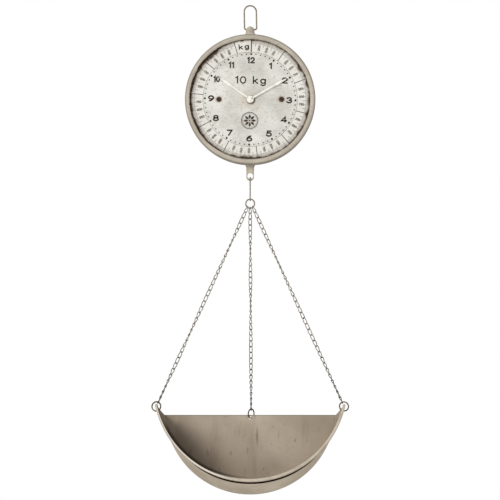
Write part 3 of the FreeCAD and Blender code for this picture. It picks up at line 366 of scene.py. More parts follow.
class Paint:
    """A procedural material under construction, with short names for the nodes it uses."""

    def __init__(self, name, roughness=0.6, metallic=0.0, specular=0.2):
        self.material = bpy.data.materials.new(name)
        self.material.use_nodes = True
        self.tree = self.material.node_tree
        self.shader = self.tree.nodes["Principled BSDF"]
        self.shader.inputs["Roughness"].default_value = roughness
        self.shader.inputs["Metallic"].default_value = metallic
        self.shader.inputs["Specular IOR Level"].default_value = specular
        self.place = self.tree.nodes.new("ShaderNodeTexCoord").outputs["Object"]

    def add(self, kind, settings=None, inputs=None):
        """A new node with its settings made and its inputs fed."""
        node = self.tree.nodes.new(kind)
        for key, value in (settings or {}).items():
            setattr(node, key, value)
        for key, value in (inputs or {}).items():
            self.feed(node.inputs[key], value)
        return node

    def feed(self, socket, value):
        """Links another node to an input, or sets a plain value."""
        if isinstance(value, bpy.types.NodeSocket):
            self.tree.links.new(value, socket)
        else:
            socket.default_value = value

    def stretched(self, scale):
        """The place on the object, scaled by a different amount along each axis."""
        return self.add("ShaderNodeVectorMath", {"operation": "MULTIPLY"},
                        {0: self.place, 1: scale}).outputs[0]

    def noise(self, scale, detail=4.0, rough=0.6, stretch=None, distortion=0.0):
        """Cloudy noise from 0 to 1; a larger scale makes a finer grain."""
        place = self.stretched(stretch) if stretch else self.place
        return self.add("ShaderNodeTexNoise", None, {
            "Vector": place, "Scale": scale, "Detail": detail, "Roughness": rough,
            "Distortion": distortion}).outputs["Fac"]

    def patches(self, low, high, *grain, **stretch):
        """Noise turned into patches: 0 where it is below low and 1 above high."""
        return self.between(self.noise(*grain, **stretch), low, high)

    def between(self, value, low, high):
        """0 below low and 1 above high, with a smooth step between."""
        return self.add("ShaderNodeMapRange", {"interpolation_type": "SMOOTHSTEP"}, {
            "Value": value, "From Min": low, "From Max": high}).outputs[0]

    def math(self, operation, first, second):
        """One sum of two values."""
        return self.add("ShaderNodeMath", {"operation": operation}, {0: first, 1: second}).outputs[0]

    def times(self, first, second):
        return self.math("MULTIPLY", first, second)

    def plus(self, first, second):
        return self.math("ADD", first, second)

    def minus(self, first, second):
        return self.math("SUBTRACT", first, second)

    def mix(self, share, first, second):
        """The first colour where share is 0 and the second where it is 1."""
        node = self.add("ShaderNodeMix", {"data_type": "RGBA"}, {0: share})
        self.feed(node.inputs[6], first)
        self.feed(node.inputs[7], second)
        return node.outputs[2]

    def grey(self, share, first, second):
        """As mix, for two plain values."""
        return self.mix(share, (first, first, first, 1), (second, second, second, 1))

    def base(self, share, first, second):
        """Starts the colour: the first where share is 0 and the second where it is 1."""
        self.tone = self.mix(share, colour(*first), colour(*second))

    def mark(self, where, shade, strength=None):
        """Lays another colour over the ones so far, in some places and with a given strength."""
        share = where if strength is None else self.times(where, strength)
        self.tone = self.mix(share, self.tone, colour(*shade))

    def axis(self, letter):
        """The place along one axis of the object."""
        split = self.add("ShaderNodeSeparateXYZ", None, {0: self.place})
        return split.outputs[letter]

    def distance_from(self, point, flatten=(1, 1, 1)):
        """How far the surface is from a point, with any axis left out by flatten."""
        offset = self.add("ShaderNodeVectorMath", {"operation": "SUBTRACT"}, {0: self.place, 1: point})
        flat = self.add("ShaderNodeVectorMath", {"operation": "MULTIPLY"},
                        {0: offset.outputs[0], 1: flatten})
        return self.add("ShaderNodeVectorMath", {"operation": "LENGTH"}, {0: flat.outputs[0]}).outputs[1]

    def finish(self, roughness=None, height=None, strength=0.3, depth=0.0004):
        """Feeds the colour, and if given the roughness and a bump, into the shader."""
        self.feed(self.shader.inputs["Base Color"], self.tone)
        if roughness is not None:
            self.feed(self.shader.inputs["Roughness"], roughness)
        if height is not None:
            bump = self.add("ShaderNodeBump", None, {
                "Height": height, "Strength": strength, "Distance": depth})
            self.feed(self.shader.inputs["Normal"], bump.outputs[0])
        return self.material


def colour(red, green, blue):
    """A colour given as it looks, 0 to 255, in the linear values that shaders use."""
    linear = [((part / 255 + 0.055) / 1.055) ** 2.4 if part > 10 else part / 255 / 12.92
              for part in (red, green, blue)]
    return (*linear, 1.0)


# ---------------------------------------------------------------- materials

def case_paint():
    """Matt greige paint with specks, darker in the grooves with painted shade and some dirt, and rust
    with painted shade where the bezel meets the dial.
    """
    paint = Paint("case_paint", 0.62)
    clouds = paint.patches(0.35, 0.68, 22, 6, 0.6)
    fine = paint.patches(0.4, 0.66, 260, 4, 0.7)
    paint.base(clouds, (176, 168, 154), (197, 189, 175))
    paint.mark(fine, (162, 152, 138), 0.35)
    specks = paint.patches(0.68, 0.74, 520, 2, 0.5)
    paint.mark(specks, (96, 80, 62), 0.7)
    radius = paint.distance_from((0, 0, CASE_Z), (1, 0, 1))
    # painted shade with some dirt in the groove outside the bezel and along its inner edge
    outer = paint.between(radius, BEZEL_OUTER - 0.0022, BEZEL_OUTER + 0.0003)
    front = paint.between(paint.axis("Y"), BEZEL_BACK + 0.0020, BEZEL_BACK + 0.0005)
    inner = paint.times(front, paint.between(radius, VISIBLE_RADIUS + 0.0016, VISIBLE_RADIUS))
    groove = paint.times(paint.math("MAXIMUM", outer, inner), 0.55)
    paint.mark(groove, (126, 118, 106))
    # rust and painted shade on the inside of the bezel, wider on the left where the bezel wall shades the
    # dial
    left = paint.between(paint.axis("X"), -0.02, -0.085)
    wave = paint.times(paint.noise(70, 6, 0.72, distortion=1.2), 0.0050)
    reach = paint.plus(paint.times(left, 0.0016), VISIBLE_RADIUS - 0.0014)
    over = paint.times(front, paint.minus(paint.plus(reach, wave), radius))
    paint.mark(paint.between(over, 0.0, 0.0009), (112, 90, 66), 0.5)
    paint.mark(paint.between(over, 0.0007, 0.0014), (46, 32, 22))
    height = paint.plus(paint.noise(420, 4, 0.6), paint.times(clouds, 0.6))
    rough = paint.grey(fine, 0.5, 0.75)
    return paint.finish(rough, height, 0.22, 0.0003)


def lug_paint():
    """The same paint on the two cast lugs, with dark wear where the wires rub."""
    paint = Paint("lug_paint", 0.58)
    clouds = paint.patches(0.35, 0.68, 90, 5, 0.6)
    paint.base(clouds, (178, 168, 152), (204, 195, 180))
    rubbed = paint.patches(0.62, 0.72, 210, 4, 0.65)
    paint.mark(rubbed, (106, 92, 74), 0.5)
    return paint.finish(None, paint.noise(380, 4, 0.6), 0.3, 0.0003)


def dial_face():
    """Old off-white enamel: pale clouds, brown stains, rust and painted shade from the rim, rust round
    the screws and a painted shadow below the hub.
    """
    paint = Paint("dial_face", 0.6)
    clouds = paint.patches(0.34, 0.66, 24, 7, 0.62)
    paint.base(clouds, (203, 201, 194), (228, 226, 220))
    stain = paint.patches(0.53, 0.70, 13, 5, 0.55, distortion=0.8)
    paint.mark(stain, (196, 184, 164), 0.55)
    mottle = paint.patches(0.52, 0.64, 190, 5, 0.7)
    paint.mark(mottle, (168, 158, 142), 0.42)
    freckle = paint.patches(0.60, 0.68, 420, 4, 0.65)
    paint.mark(freckle, (142, 128, 108), 0.5)
    radius = paint.distance_from((0, 0, CASE_Z), (1, 0, 1))
    band = paint.between(radius, SCALE_INNER - 0.0008, SCALE_INNER + 0.0006)
    paint.mark(band, (236, 234, 227), 0.5)
    scratch = paint.patches(0.62, 0.7, 60, 6, 0.8, (1.0, 1.0, 9.0))
    paint.mark(scratch, (150, 138, 120), 0.25)
    from_hub = paint.distance_from(on_dial(0, 0), (1, 0, 1))
    warm = paint.minus(1.0, paint.between(from_hub, 0.004, 0.030))
    cloudy_warm = paint.times(warm, paint.patches(0.4, 0.7, 50, 4, 0.6))
    paint.mark(cloudy_warm, (186, 166, 138), 0.5)
    # painted shadow of the hub, below it and to the right
    hub_shadow = paint.distance_from(on_dial(0.0020, 128), (1, 0, 1))
    paint.mark(paint.between(hub_shadow, 0.0090, 0.0064), (96, 80, 62), 0.75)
    ragged_noise = paint.noise(34, 6, 0.72, distortion=1.4)
    rust_at_rim(paint, radius, ragged_noise)
    for side in (-1, 1):
        screw = paint.distance_from(Vector((side * SCREW_OFFSET, DIAL_FRONT, CASE_Z)), (1, 0, 1))
        uneven = paint.plus(screw, paint.times(paint.noise(160, 4, 0.6), 0.006))
        halo = paint.minus(1.0, paint.between(uneven, 0.0060, 0.0110))
        paint.mark(halo, (142, 110, 80), 0.62)
    height = paint.plus(paint.noise(300, 5, 0.65), paint.times(ragged_noise, 0.8))
    rough = paint.grey(clouds, 0.48, 0.68)
    return paint.finish(rough, height, 0.18, 0.0003)


# patches of rust and painted shade at the rim of the dial, most of them on the left
RUST_AND_SHADE_PATCHES = [
    # clock angle in degrees, how far it spreads along the rim, how far it eats inwards
    (318, 0.016, 0.0042), (306, 0.022, 0.0016), (292, 0.030, 0.0009), (272, 0.034, 0.0008),
    (252, 0.026, 0.0009), (240, 0.022, 0.0008), (330, 0.020, 0.0012), (345, 0.020, 0.0006),
    (8, 0.020, 0.0007), (57, 0.010, 0.0034), (74, 0.008, 0.0022), (90, 0.012, 0.0022),
    (104, 0.010, 0.0026), (121, 0.013, 0.0030), (140, 0.022, 0.0006), (182, 0.016, 0.0026),
    (171, 0.008, 0.0022), (195, 0.010, 0.0014), (212, 0.022, 0.0006)]


def rust_at_rim(paint, radius, wave):
    """Dark rust and painted shade between the dial and the bezel: a ragged line all round and several
    deep patches.
    """
    ragged = paint.plus(radius, paint.times(paint.minus(wave, 0.5), 0.011))
    for degrees, reach, depth in RUST_AND_SHADE_PATCHES:
        spot = paint.distance_from(on_dial(VISIBLE_RADIUS, degrees), (1, 0, 1))
        near = paint.minus(1.0, paint.between(spot, reach * 0.35, reach))
        ragged = paint.plus(ragged, paint.times(near, depth))
    # rust and painted shade of the bezel wall along the edge of the dial, deepest on the left
    brown = paint.between(ragged, VISIBLE_RADIUS - 0.0042, VISIBLE_RADIUS - 0.0008)
    paint.mark(brown, (124, 98, 70), 0.65)
    black = paint.between(ragged, VISIBLE_RADIUS - 0.0016, VISIBLE_RADIUS + 0.0002)
    paint.mark(black, (38, 24, 14))


def dial_ink():
    """Brown-black print, thin in places so that the enamel shows through."""
    paint = Paint("dial_ink", 0.65)
    worn = paint.patches(0.5, 0.66, 330, 5, 0.7)
    patch = paint.patches(0.48, 0.62, 42, 3, 0.5)
    paint.base(paint.times(worn, 0.5), (44, 32, 22), (120, 106, 88))
    paint.mark(patch, (120, 106, 88), 0.25)
    return paint.finish(None, paint.noise(500, 3, 0.6), 0.1, 0.0001)


def faded_ink():
    """The fine print of the weight scale, much more faded."""
    paint = Paint("faded_ink", 0.65)
    worn = paint.patches(0.42, 0.62, 260, 5, 0.7)
    patch = paint.patches(0.45, 0.6, 30, 3, 0.5)
    paint.base(paint.times(worn, 0.5), (74, 64, 52), (165, 156, 141))
    paint.mark(patch, (165, 156, 141), 0.3)
    return paint.finish(None, paint.noise(500, 3, 0.6), 0.1, 0.0001)


def hand_paint():
    """Cream lacquer, slightly yellowed and dusty."""
    paint = Paint("hand_paint", 0.42)
    clouds = paint.patches(0.36, 0.68, 120, 5, 0.6)
    paint.base(clouds, (236, 232, 221), (250, 248, 242))
    dirt = paint.patches(0.62, 0.7, 700, 3, 0.6)
    paint.mark(dirt, (176, 160, 136), 0.4)
    return paint.finish(None, paint.noise(500, 3, 0.5), 0.12, 0.0002)


def rusty_steel():
    """Screw heads gone brown all over."""
    paint = Paint("rusty_steel", 0.75, 0.25)
    crust = paint.patches(0.38, 0.62, 700, 6, 0.7)
    paint.base(crust, (46, 34, 24), (98, 80, 62))
    return paint.finish(None, paint.noise(900, 6, 0.75), 0.6, 0.0004)


def aged_wire(name, bright, middle, dark, dark_share):
    """Round wire with dull grey-brown tarnish over steel, darker in patches."""
    paint = Paint(name, 0.5, 0.55)
    clouds = paint.patches(0.35, 0.65, 170, 5, 0.6)
    paint.base(clouds, middle, bright)
    patches = paint.patches(0.60 - dark_share, 0.72 - dark_share, 95, 4, 0.7)
    paint.mark(patches, dark)
    rough = paint.grey(patches, 0.42, 0.72)
    return paint.finish(rough, paint.noise(800, 5, 0.7), 0.35, 0.0002)


def chain_metal():
    """Dull plated links with brown patches; they get darker towards the pan."""
    paint = Paint("chain_metal", 0.48, 0.5)
    clouds = paint.patches(0.35, 0.65, 140, 5, 0.6)
    paint.base(clouds, (128, 118, 102), (166, 157, 141))
    patches = paint.patches(0.50, 0.62, 230, 4, 0.7)
    paint.mark(patches, (66, 51, 37), 0.8)
    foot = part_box("left_chain")[0].z
    high = paint.between(paint.axis("Z"), foot, foot + 0.12)
    paint.mark(paint.minus(1.0, high), (60, 46, 33), 0.6)
    return paint.finish(None, paint.noise(900, 5, 0.7), 0.35, 0.0002)


def pan_outside():
    """Greige paint outside the pan, with fine grain and painted shade on the back wall."""
    paint = Paint("pan_outside", 0.8, specular=0.0)
    clouds = paint.patches(0.36, 0.66, 16, 6, 0.6)
    paint.base(clouds, (196, 183, 165), (218, 206, 189))
    grain = paint.patches(0.5, 0.68, 330, 4, 0.7)
    paint.mark(grain, (160, 146, 128), 0.4)
    # painted shade over the rear of the pan and its back wall
    rear = paint.between(paint.axis("Y"), BACK_Y - 0.010, BACK_Y - 0.004)
    paint.mark(rear, (138, 131, 116), 0.4)
    return paint.finish(None, paint.noise(300, 5, 0.65), 0.25, 0.0003)


def hem_grime():
    """Black-brown painted shade, with some dirt, for the seam behind the bead."""
    paint = Paint("hem_grime", 0.9, specular=0.0)
    paint.base(paint.patches(0.4, 0.65, 160, 4, 0.6), (22, 13, 6), (44, 30, 18))
    return paint.finish(None, paint.noise(500, 4, 0.6), 0.2, 0.0002)


def pan_inside():
    """Worn paint inside the pan: painted shade low down and on the left, a painted shadow just inside the
    mouth on the left, runs down the back and small spots.
    """
    paint = Paint("pan_inside", 0.6, specular=0.08)
    clouds = paint.patches(0.34, 0.68, 9, 6, 0.62)
    paint.base(clouds, (180, 166, 149), (200, 187, 170))
    runs = paint.patches(0.52, 0.70, 24, 5, 0.65, (1.0, 1.0, 0.16))
    paint.mark(runs, (158, 143, 124), 0.55)
    short_runs = paint.patches(0.60, 0.70, 85, 4, 0.6, (1.0, 1.0, 0.3))
    paint.mark(short_runs, (140, 124, 104), 0.5)
    specks = paint.patches(0.68, 0.74, 210, 3, 0.5, (1.0, 1.0, 0.6))
    paint.mark(specks, (98, 82, 64), 0.5)
    # painted shade low in the pan
    low = paint.between(paint.axis("Z"), BACK_BOTTOM + 0.085, BACK_BOTTOM + 0.035)
    paint.mark(low, (104, 88, 70), 0.16)
    # painted shade on the left of the pan, deepest next to the mouth
    corner = paint.distance_from(Vector((0, 0, MOUTH_CENTRE - 0.006)), (1, 0, 1))
    left = paint.between(paint.axis("X"), -0.005, -0.125)
    edge = paint.between(corner, MOUTH_RADIUS - 0.080, MOUTH_RADIUS - 0.001)
    uneven = paint.patches(0.0, 0.6, 18, 5, 0.6)
    shade = paint.times(paint.times(left, edge), paint.times(uneven, 0.66))
    paint.mark(shade, (76, 58, 41))
    # painted shadow of the bead and the left wall, just inside the mouth on the left
    side = paint.between(paint.axis("X"), 0.02, -0.06)
    bead_shadow = paint.between(corner, MOUTH_RADIUS - 0.0040, MOUTH_RADIUS + 0.0012)
    paint.mark(paint.times(bead_shadow, side), (48, 34, 20), 0.8)
    streak = paint.distance_from(Vector((0.012, 0, EDGE_Z - 0.036)), (1, 0, 0.14))
    paint.mark(paint.between(streak, 0.0030, 0.0006), (112, 97, 78), 0.55)
    right = paint.between(paint.axis("X"), 0.04, 0.15)
    paint.mark(right, (156, 142, 124), 0.45)
    hem = paint.between(paint.axis("Z"), EDGE_Z - 0.0016, EDGE_Z - 0.0008)
    wall = paint.between(paint.axis("Y"), BACK_Y - 0.0010, BACK_Y - 0.0002)
    paint.mark(paint.times(hem, wall), (112, 104, 92), 0.6)
    rough = paint.grey(clouds, 0.45, 0.68)
    return paint.finish(rough, paint.noise(260, 5, 0.65), 0.25, 0.0003)


def bead_paint():
    """The rolled rim, with a painted highlight at the front left and painted shade on its inner side at
    the left, and chips down to brown.
    """
    paint = Paint("bead_paint", 0.5)
    clouds = paint.patches(0.35, 0.65, 45, 5, 0.6)
    paint.base(clouds, (176, 164, 148), (200, 189, 173))
    # painted highlight along the front of the bead on the left
    left = paint.between(paint.axis("X"), -0.01, -0.075)
    front = paint.between(paint.axis("Y"), MOUTH_Y - BEAD * 0.62, MOUTH_Y - BEAD * 0.96)
    paint.mark(paint.times(left, front), (230, 222, 208))
    around = paint.distance_from(Vector((0, 0, MOUTH_CENTRE)), (1, 0, 1))
    # painted shade on the inner side of the bead on the left
    inner = paint.between(around, MOUTH_RADIUS - 0.0008, MOUTH_RADIUS - 0.0017)
    paint.mark(paint.times(left, inner), (26, 15, 7))
    outer = paint.between(around, MOUTH_RADIUS + 0.0016, MOUTH_RADIUS + 0.0024)
    paint.mark(outer, (132, 116, 98), 0.6)
    chips = paint.patches(0.62, 0.70, 190, 4, 0.65)
    paint.mark(chips, (130, 115, 96), 0.6)
    return paint.finish(None, paint.noise(340, 4, 0.6), 0.2, 0.0003)


def plain_material(name, light, dark, roughness, metallic=0.0, grain=400, strength=0.15):
    """A small part of the movement or a fastener: two close tones, fine grain and slight bump."""
    paint = Paint(name, roughness, metallic)
    clouds = paint.patches(0.35, 0.65, grain * 0.3, 4, 0.6)
    paint.base(clouds, dark, light)
    rough = paint.grey(clouds, roughness - 0.08, roughness + 0.08)
    return paint.finish(rough, paint.noise(grain, 4, 0.6), strength, 0.0002)


# ---------------------------------------------------------------- case

CASE_PAINT = case_paint()
LUG_PAINT = lug_paint()
WIRE = aged_wire("aged_wire", (152, 143, 128), (120, 109, 94), (66, 53, 40), 0.02)
HOOK_WIRE = aged_wire("hook_wire", (158, 149, 133), (122, 112, 96), (70, 56, 42), 0.0)
RING_WIRE = aged_wire("ring_wire", (132, 120, 102), (92, 78, 62), (50, 37, 26), 0.08)


def bail():
    """The hanging loop: one bent wire, its ends turned in to the lug."""
    low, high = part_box("hanging_bail")
    wire = size_of("hanging_bail").y / 2
    half = high.x - wire
    corner = 0.003
    pivot = low.z + wire
    pin_tip = 0.0026
    lean = 0.0008
    flat = [(pin_tip, pivot), (half - corner, pivot)]
    flat += arc((half - corner, pivot + corner), corner, -90, 0, 8)[1:]
    flat += arc((0, high.z - wire - half), half, 0, 180, 36)
    flat += arc((corner - half, pivot + corner), corner, 180, 270, 8)
    flat += [(-pin_tip, pivot)]
    path = [Vector((x + lean * (high.z - z) / (high.z - low.z), 0, z)) for x, z in flat]
    piece_from_shape("bail_wire", tube(path, wire * 1.12, 20), WIRE, "hanger", "aged_wire",
                     ["hanging_bail"])


def top_lug():
    """A small domed post that swells out into the case at its foot."""
    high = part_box("top_lug")[1]
    radius = 0.0073
    foot_radius = 0.0100
    flare = 0.0029
    flare_height = 0.0045
    dome = high.z - radius
    foot = CASE_Z + CASE_RADIUS
    sunk = foot - 0.0025
    profile = [(0.0, sunk), (foot_radius, sunk), (foot_radius + 0.0002, foot - 0.0006)]
    for step in range(9):
        share = step / 8
        swell = flare * (1 - share) ** 2.2
        profile.append((radius + swell, foot + 0.0002 + share * flare_height))
    profile += arc((0, dome), radius, 0, 88, 16)
    profile.append((0.0, high.z))
    piece_from_shape("top_post", lathe(profile, Vector((0, 0, 0)), "Z", 64), LUG_PAINT,
                     "case", "case_paint", ["top_lug"])


def bottom_lug():
    """A flat eye whose shank flares into the case; the load hook hangs in its hole."""
    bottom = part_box("bottom_lug")[0].z
    thickness = size_of("bottom_lug").y - 0.0002
    half = 0.0066
    flare = 0.0032
    flare_height = 0.0085
    foot = CASE_Z - CASE_RADIUS + 0.0012
    hole_radius = 0.0049
    hole_z = bottom + 0.0083
    side = []
    for step in range(11):
        share = step / 10
        side.append((half + flare * (1 - share) ** 2.6, foot - share * flare_height))
    end = []
    for step in range(1, 24):
        angle = math.pi * step / 24
        end.append((half * math.cos(angle), bottom + half - half * math.sin(angle) ** 0.85))
    outline = side + end + [(-x, z) for x, z in reversed(side)]
    hole = arc((0, hole_z), hole_radius, 0, 360, 40)[:-1]
    mesh = flat_plate("eye_lug", [outline, hole], -thickness / 2, thickness, 0.0009)
    piece_from_mesh("eye_lug", mesh, [LUG_PAINT], "case", "case_paint", ["bottom_lug"])


def case_lathe(name, node, profile, **looks):
    """A piece of the painted case, turned about the middle of the dial."""
    shape = lathe(profile, Vector((0, 0, CASE_Z)), segments=256)
    piece_from_shape(name, shape, CASE_PAINT, "case", "case_paint", [node], **looks)


def bezel():
    """The half-round front ring."""
    middle = VISIBLE_RADIUS + BEZEL_TUBE
    flat = BEZEL_BACK - 0.0001
    case_lathe("bezel_ring", "front_bezel", arc((middle, flat), BEZEL_TUBE, 180, 360, 28))


def drum():
    """The drum behind the bezel, with a rounded front corner and a lip turned in at both ends."""
    low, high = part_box("case_drum")
    front = low.y
    rear = high.y
    sheet = 0.001
    corner = 0.0016
    lip = CASE_RADIUS - 0.007
    profile = [(lip, front), (CASE_RADIUS - corner, front)]
    profile += arc((CASE_RADIUS - corner, front + corner), corner, -90, 0, 6)[1:]
    profile += [(CASE_RADIUS, rear), (lip, rear), (lip, rear - sheet),
                (CASE_RADIUS - sheet, rear - sheet), (CASE_RADIUS - sheet, front + corner),
                (CASE_RADIUS - corner, front + sheet), (lip, front + sheet)]
    case_lathe("drum_side", "case_drum", profile, crisp=35)


def back():
    """The flat back with a bevel round the access hole and two shallow pressed rings."""
    hole = size_of("movement_rear_shell").x / 2 * 1.43
    bevel = 0.0009
    edge = 0.0003
    groove = 0.0004
    front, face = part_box("back_plate")[0].y, CASE_BACK
    profile = [(hole, front), (CASE_RADIUS, front), (CASE_RADIUS, face - edge),
               (CASE_RADIUS - edge, face)]
    for radius in (0.080, 0.062):
        profile += [(radius + 0.0016, face), (radius + 0.0006, face - groove),
                    (radius - 0.0006, face - groove), (radius - 0.0016, face)]
    profile += [(hole + bevel, face), (hole, face - groove)]
    case_lathe("back_disc", "back_plate", profile, crisp=20)


# ---------------------------------------------------------------- dial

PRINT = 0.00008
KILO_TURN = 34.3
KILO_DIVISIONS = 11
TICKS_PER_KILO = 40
ORNAMENT_DROP = 0.036


def dial():
    """The enamel disc."""
    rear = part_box("dial_plate")[1].y
    edge = size_of("dial_plate").x / 2
    hub = 0.0041
    profile = [(hub, DIAL_FRONT), (edge, DIAL_FRONT), (edge, rear), (hub, rear)]
    shape = lathe(profile, Vector((0, 0, CASE_Z)), segments=256)
    piece_from_shape("dial_disc", shape, dial_face(), "case", "dial_face", ["dial_plate"], crisp=35)


def thickened(points, faces):
    """Flat print as a thin solid, closed round its outline, with its back just inside the enamel."""
    shift = len(points)
    depth = Vector((0, PRINT * 1.5, 0))
    walks = {(first, last) for face in faces for first, last in zip(face, face[1:] + face[:1])}
    sides = [[last, first, first + shift, last + shift]
             for first, last in sorted(walks) if (last, first) not in walks]
    rear = [[index + shift for index in reversed(face)] for face in faces]
    return points + [point + depth for point in points], faces + sides + rear


def around(centre, radius, steps):
    """Points of an upright circle about any point of the dial."""
    return [centre + Vector((math.cos(TURN * step / steps), 0, math.sin(TURN * step / steps))) * radius
            for step in range(steps)]


def flat_ring(inner, outer, steps=240):
    """A printed circle about the middle of the dial."""
    points = []
    for step in range(steps):
        for radius in (inner, outer):
            points.append(on_dial(radius, 360 * step / steps, PRINT))
    return points, grid_faces(steps, 2, close_rows=True)


def radial_line(inner, outer, degrees, width):
    """A printed line that points at the centre."""
    middle = [on_dial(radius, degrees, PRINT) for radius in (inner, outer)]
    across = (on_dial(1, degrees + 90) - on_dial(0, 0)).normalized() * width / 2
    points = [middle[0] - across, middle[0] + across, middle[1] + across, middle[1] - across]
    return points, [[0, 1, 2, 3]]


def printed_dot(centre, size, sides=16):
    """A round printed spot."""
    return around(centre, size, sides), [list(range(sides))]


def printed_figures(text, degrees, radius, height, width, weight, upright=True):
    """Figures on the dial, upright or with their tops outwards."""
    outline, faces = lettering(text, height, width, weight)
    centre = on_dial(radius, degrees, PRINT)
    turn = math.radians(DIAL_TURN + (0 if upright else degrees))
    right = Vector((math.cos(turn), 0, -math.sin(turn)))
    up = Vector((math.sin(turn), 0, math.cos(turn)))
    return [centre + right * x + up * y for x, y in outline], faces


def dial_print():
    """Numerals, minute dots, the rings and the main divisions in dark ink."""
    numeral_radius = VISIBLE_RADIUS * 0.655
    numeral_height = 0.0083
    widths = {10: 0.92, 11: 1.1, 12: 1.1}
    dot_radius = VISIBLE_RADIUS * 0.759
    parts = []
    for hour in range(1, 13):
        width = widths.get(hour, 1.55)
        parts.append(printed_figures(str(hour), 30 * hour, numeral_radius, numeral_height, width, 0.30))
    for minute in range(60):
        size = 0.0018 if minute % 5 == 0 else 0.00105
        parts.append(printed_dot(on_dial(dot_radius, 6 * minute, PRINT), size))
    parts.append(flat_ring(SCALE_INNER - 0.0002, SCALE_INNER + 0.0002))
    for division in range(KILO_DIVISIONS):
        width = 0.0016 if division == 0 else 0.0011
        parts.append(radial_line(SCALE_INNER, VISIBLE_RADIUS, division * KILO_TURN, width))
    parts.append(printed_figures("10 kg", 0, 0.0325, 0.0106, 1.32, 0.21))
    parts.append(printed_figures("kg", -8.2, SCALE_INNER + 0.0098, 0.0070, 1.55, 0.27, upright=False))
    for inner, outer in ((0.0134, 0.0145), (0.0120, 0.0124)):
        parts.append(ornament_ring(inner, outer))
    parts += rosette()
    piece_from_shape("dial_print", thickened(*join(parts)), dial_ink(), "case", "dial_face",
                     smooth=False)


def ornament_ring(inner, outer, steps=72):
    """A circle round the ornament below the centre."""
    centre = on_dial(ORNAMENT_DROP, 180, PRINT)
    points = []
    for pair in zip(around(centre, inner, steps), around(centre, outer, steps)):
        points += pair
    return points, grid_faces(steps, 2, close_rows=True)


def rosette(petals=8):
    """A plain flower of pointed petals round a dot."""
    centre = on_dial(ORNAMENT_DROP, 180, PRINT)
    petal_edge = ((0.0022, 0), (0.0056, 0.0020), (0.0082, 0.0017), (0.0110, 0),
                  (0.0082, -0.0017), (0.0056, -0.0020))
    parts = []
    for petal in range(petals):
        turn = TURN * petal / petals
        along = Vector((math.sin(turn), 0, math.cos(turn)))
        across = Vector((math.cos(turn), 0, -math.sin(turn)))
        points = [centre + along * reach + across * width for reach, width in petal_edge]
        parts.append((points, [list(range(len(petal_edge)))]))
    parts.append(printed_dot(centre, 0.0014, 20))
    return parts


def weight_scale():
    """The faded weight divisions round the edge: fine ticks and small figures at the quarters."""
    parts = []
    for division in range(KILO_DIVISIONS - 1):
        for step in range(1, TICKS_PER_KILO):
            degrees = (division + step / TICKS_PER_KILO) * KILO_TURN
            fifth = step % 5 == 0
            width = 0.00060 if fifth else 0.00042
            if step % 10 == 0:
                parts.append(radial_line(SCALE_INNER, SCALE_INNER + 0.0022, degrees, width))
                inner = VISIBLE_RADIUS * 0.90
            else:
                inner = VISIBLE_RADIUS * (0.885 if fifth else 0.925)
            parts.append(radial_line(inner, VISIBLE_RADIUS, degrees, width))
        for quarter, figures in ((1, "250"), (2, "500"), (3, "750")):
            parts.append(quarter_figures(figures, (division + quarter / 4) * KILO_TURN))
    piece_from_shape("weight_scale", thickened(*join(parts)), faded_ink(), "case", "dial_face",
                     smooth=False)


def quarter_figures(figures, degrees):
    """Small figures that read along a radius of the dial."""
    outline, faces = lettering(figures, 0.0032, 1.0, 0.34)
    centre = on_dial(SCALE_INNER + 0.0074, degrees, PRINT)
    outward = (on_dial(1, degrees) - on_dial(0, 0)).normalized()
    side = 1 if degrees < 180 else -1
    right = outward * side
    up = Vector((-outward.z, 0, outward.x)) * side
    return [centre + right * x + up * y for x, y in outline], faces


def domed_head(radius, rear, height, straight, angles):
    """The profile of a head that stands forward: a straight side, then a dome. Angles in radians."""
    profile = [(0, rear), (radius, rear), (radius, rear - height * straight)]
    for angle in angles:
        rise = straight + (1 - straight) * math.sin(angle)
        profile.append((radius * math.cos(angle), rear - height * rise))
    profile.append((0, rear - height))
    return profile


def dial_screws():
    """Two domed, slotted screw heads, rusted brown."""
    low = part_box("dial_screws")[0]
    radius = size_of("dial_screws").z / 2
    angles = [0.15 * step for step in range(1, 11)]
    profile = domed_head(radius, DIAL_FRONT, DIAL_FRONT - low.y, 0.45, angles)
    heads = []
    slots = []
    for side, lean in ((-1, 28), (1, -40)):
        heads.append(lathe(profile, Vector((side * SCREW_OFFSET, 0, CASE_Z)), segments=48))
        slots.append(screw_slot(Vector((side * SCREW_OFFSET, low.y - 0.00002, CASE_Z)), radius, lean))
    piece_from_shape("dial_screw_heads", join(heads), rusty_steel(), "case", "rusty_screw",
                     ["dial_screws"])
    dirt = plain_material("slot_dirt", (34, 24, 17), (22, 15, 10), 0.9)
    piece_from_shape("dial_screw_slots", join(slots), dirt, "case", "rusty_screw", smooth=False)


def screw_slot(centre, radius, lean):
    """The dirt-filled slot of a screw head, as a thin bar across it."""
    turn = math.radians(lean)
    along = Vector((math.cos(turn), 0, math.sin(turn))) * radius * 0.8
    across = Vector((-math.sin(turn), 0, math.cos(turn))) * 0.00045
    back = Vector((0, 0.0004, 0))
    corners = [centre - along - across, centre + along - across, centre + along + across,
               centre - along + across]
    points = corners + [corner + back for corner in corners]
    return points, [[0, 1, 2, 3], [7, 6, 5, 4], [0, 4, 5, 1], [1, 5, 6, 2], [2, 6, 7, 3], [3, 7, 4, 0]]


# ---------------------------------------------------------------- hands

HAND_PAINT = hand_paint()


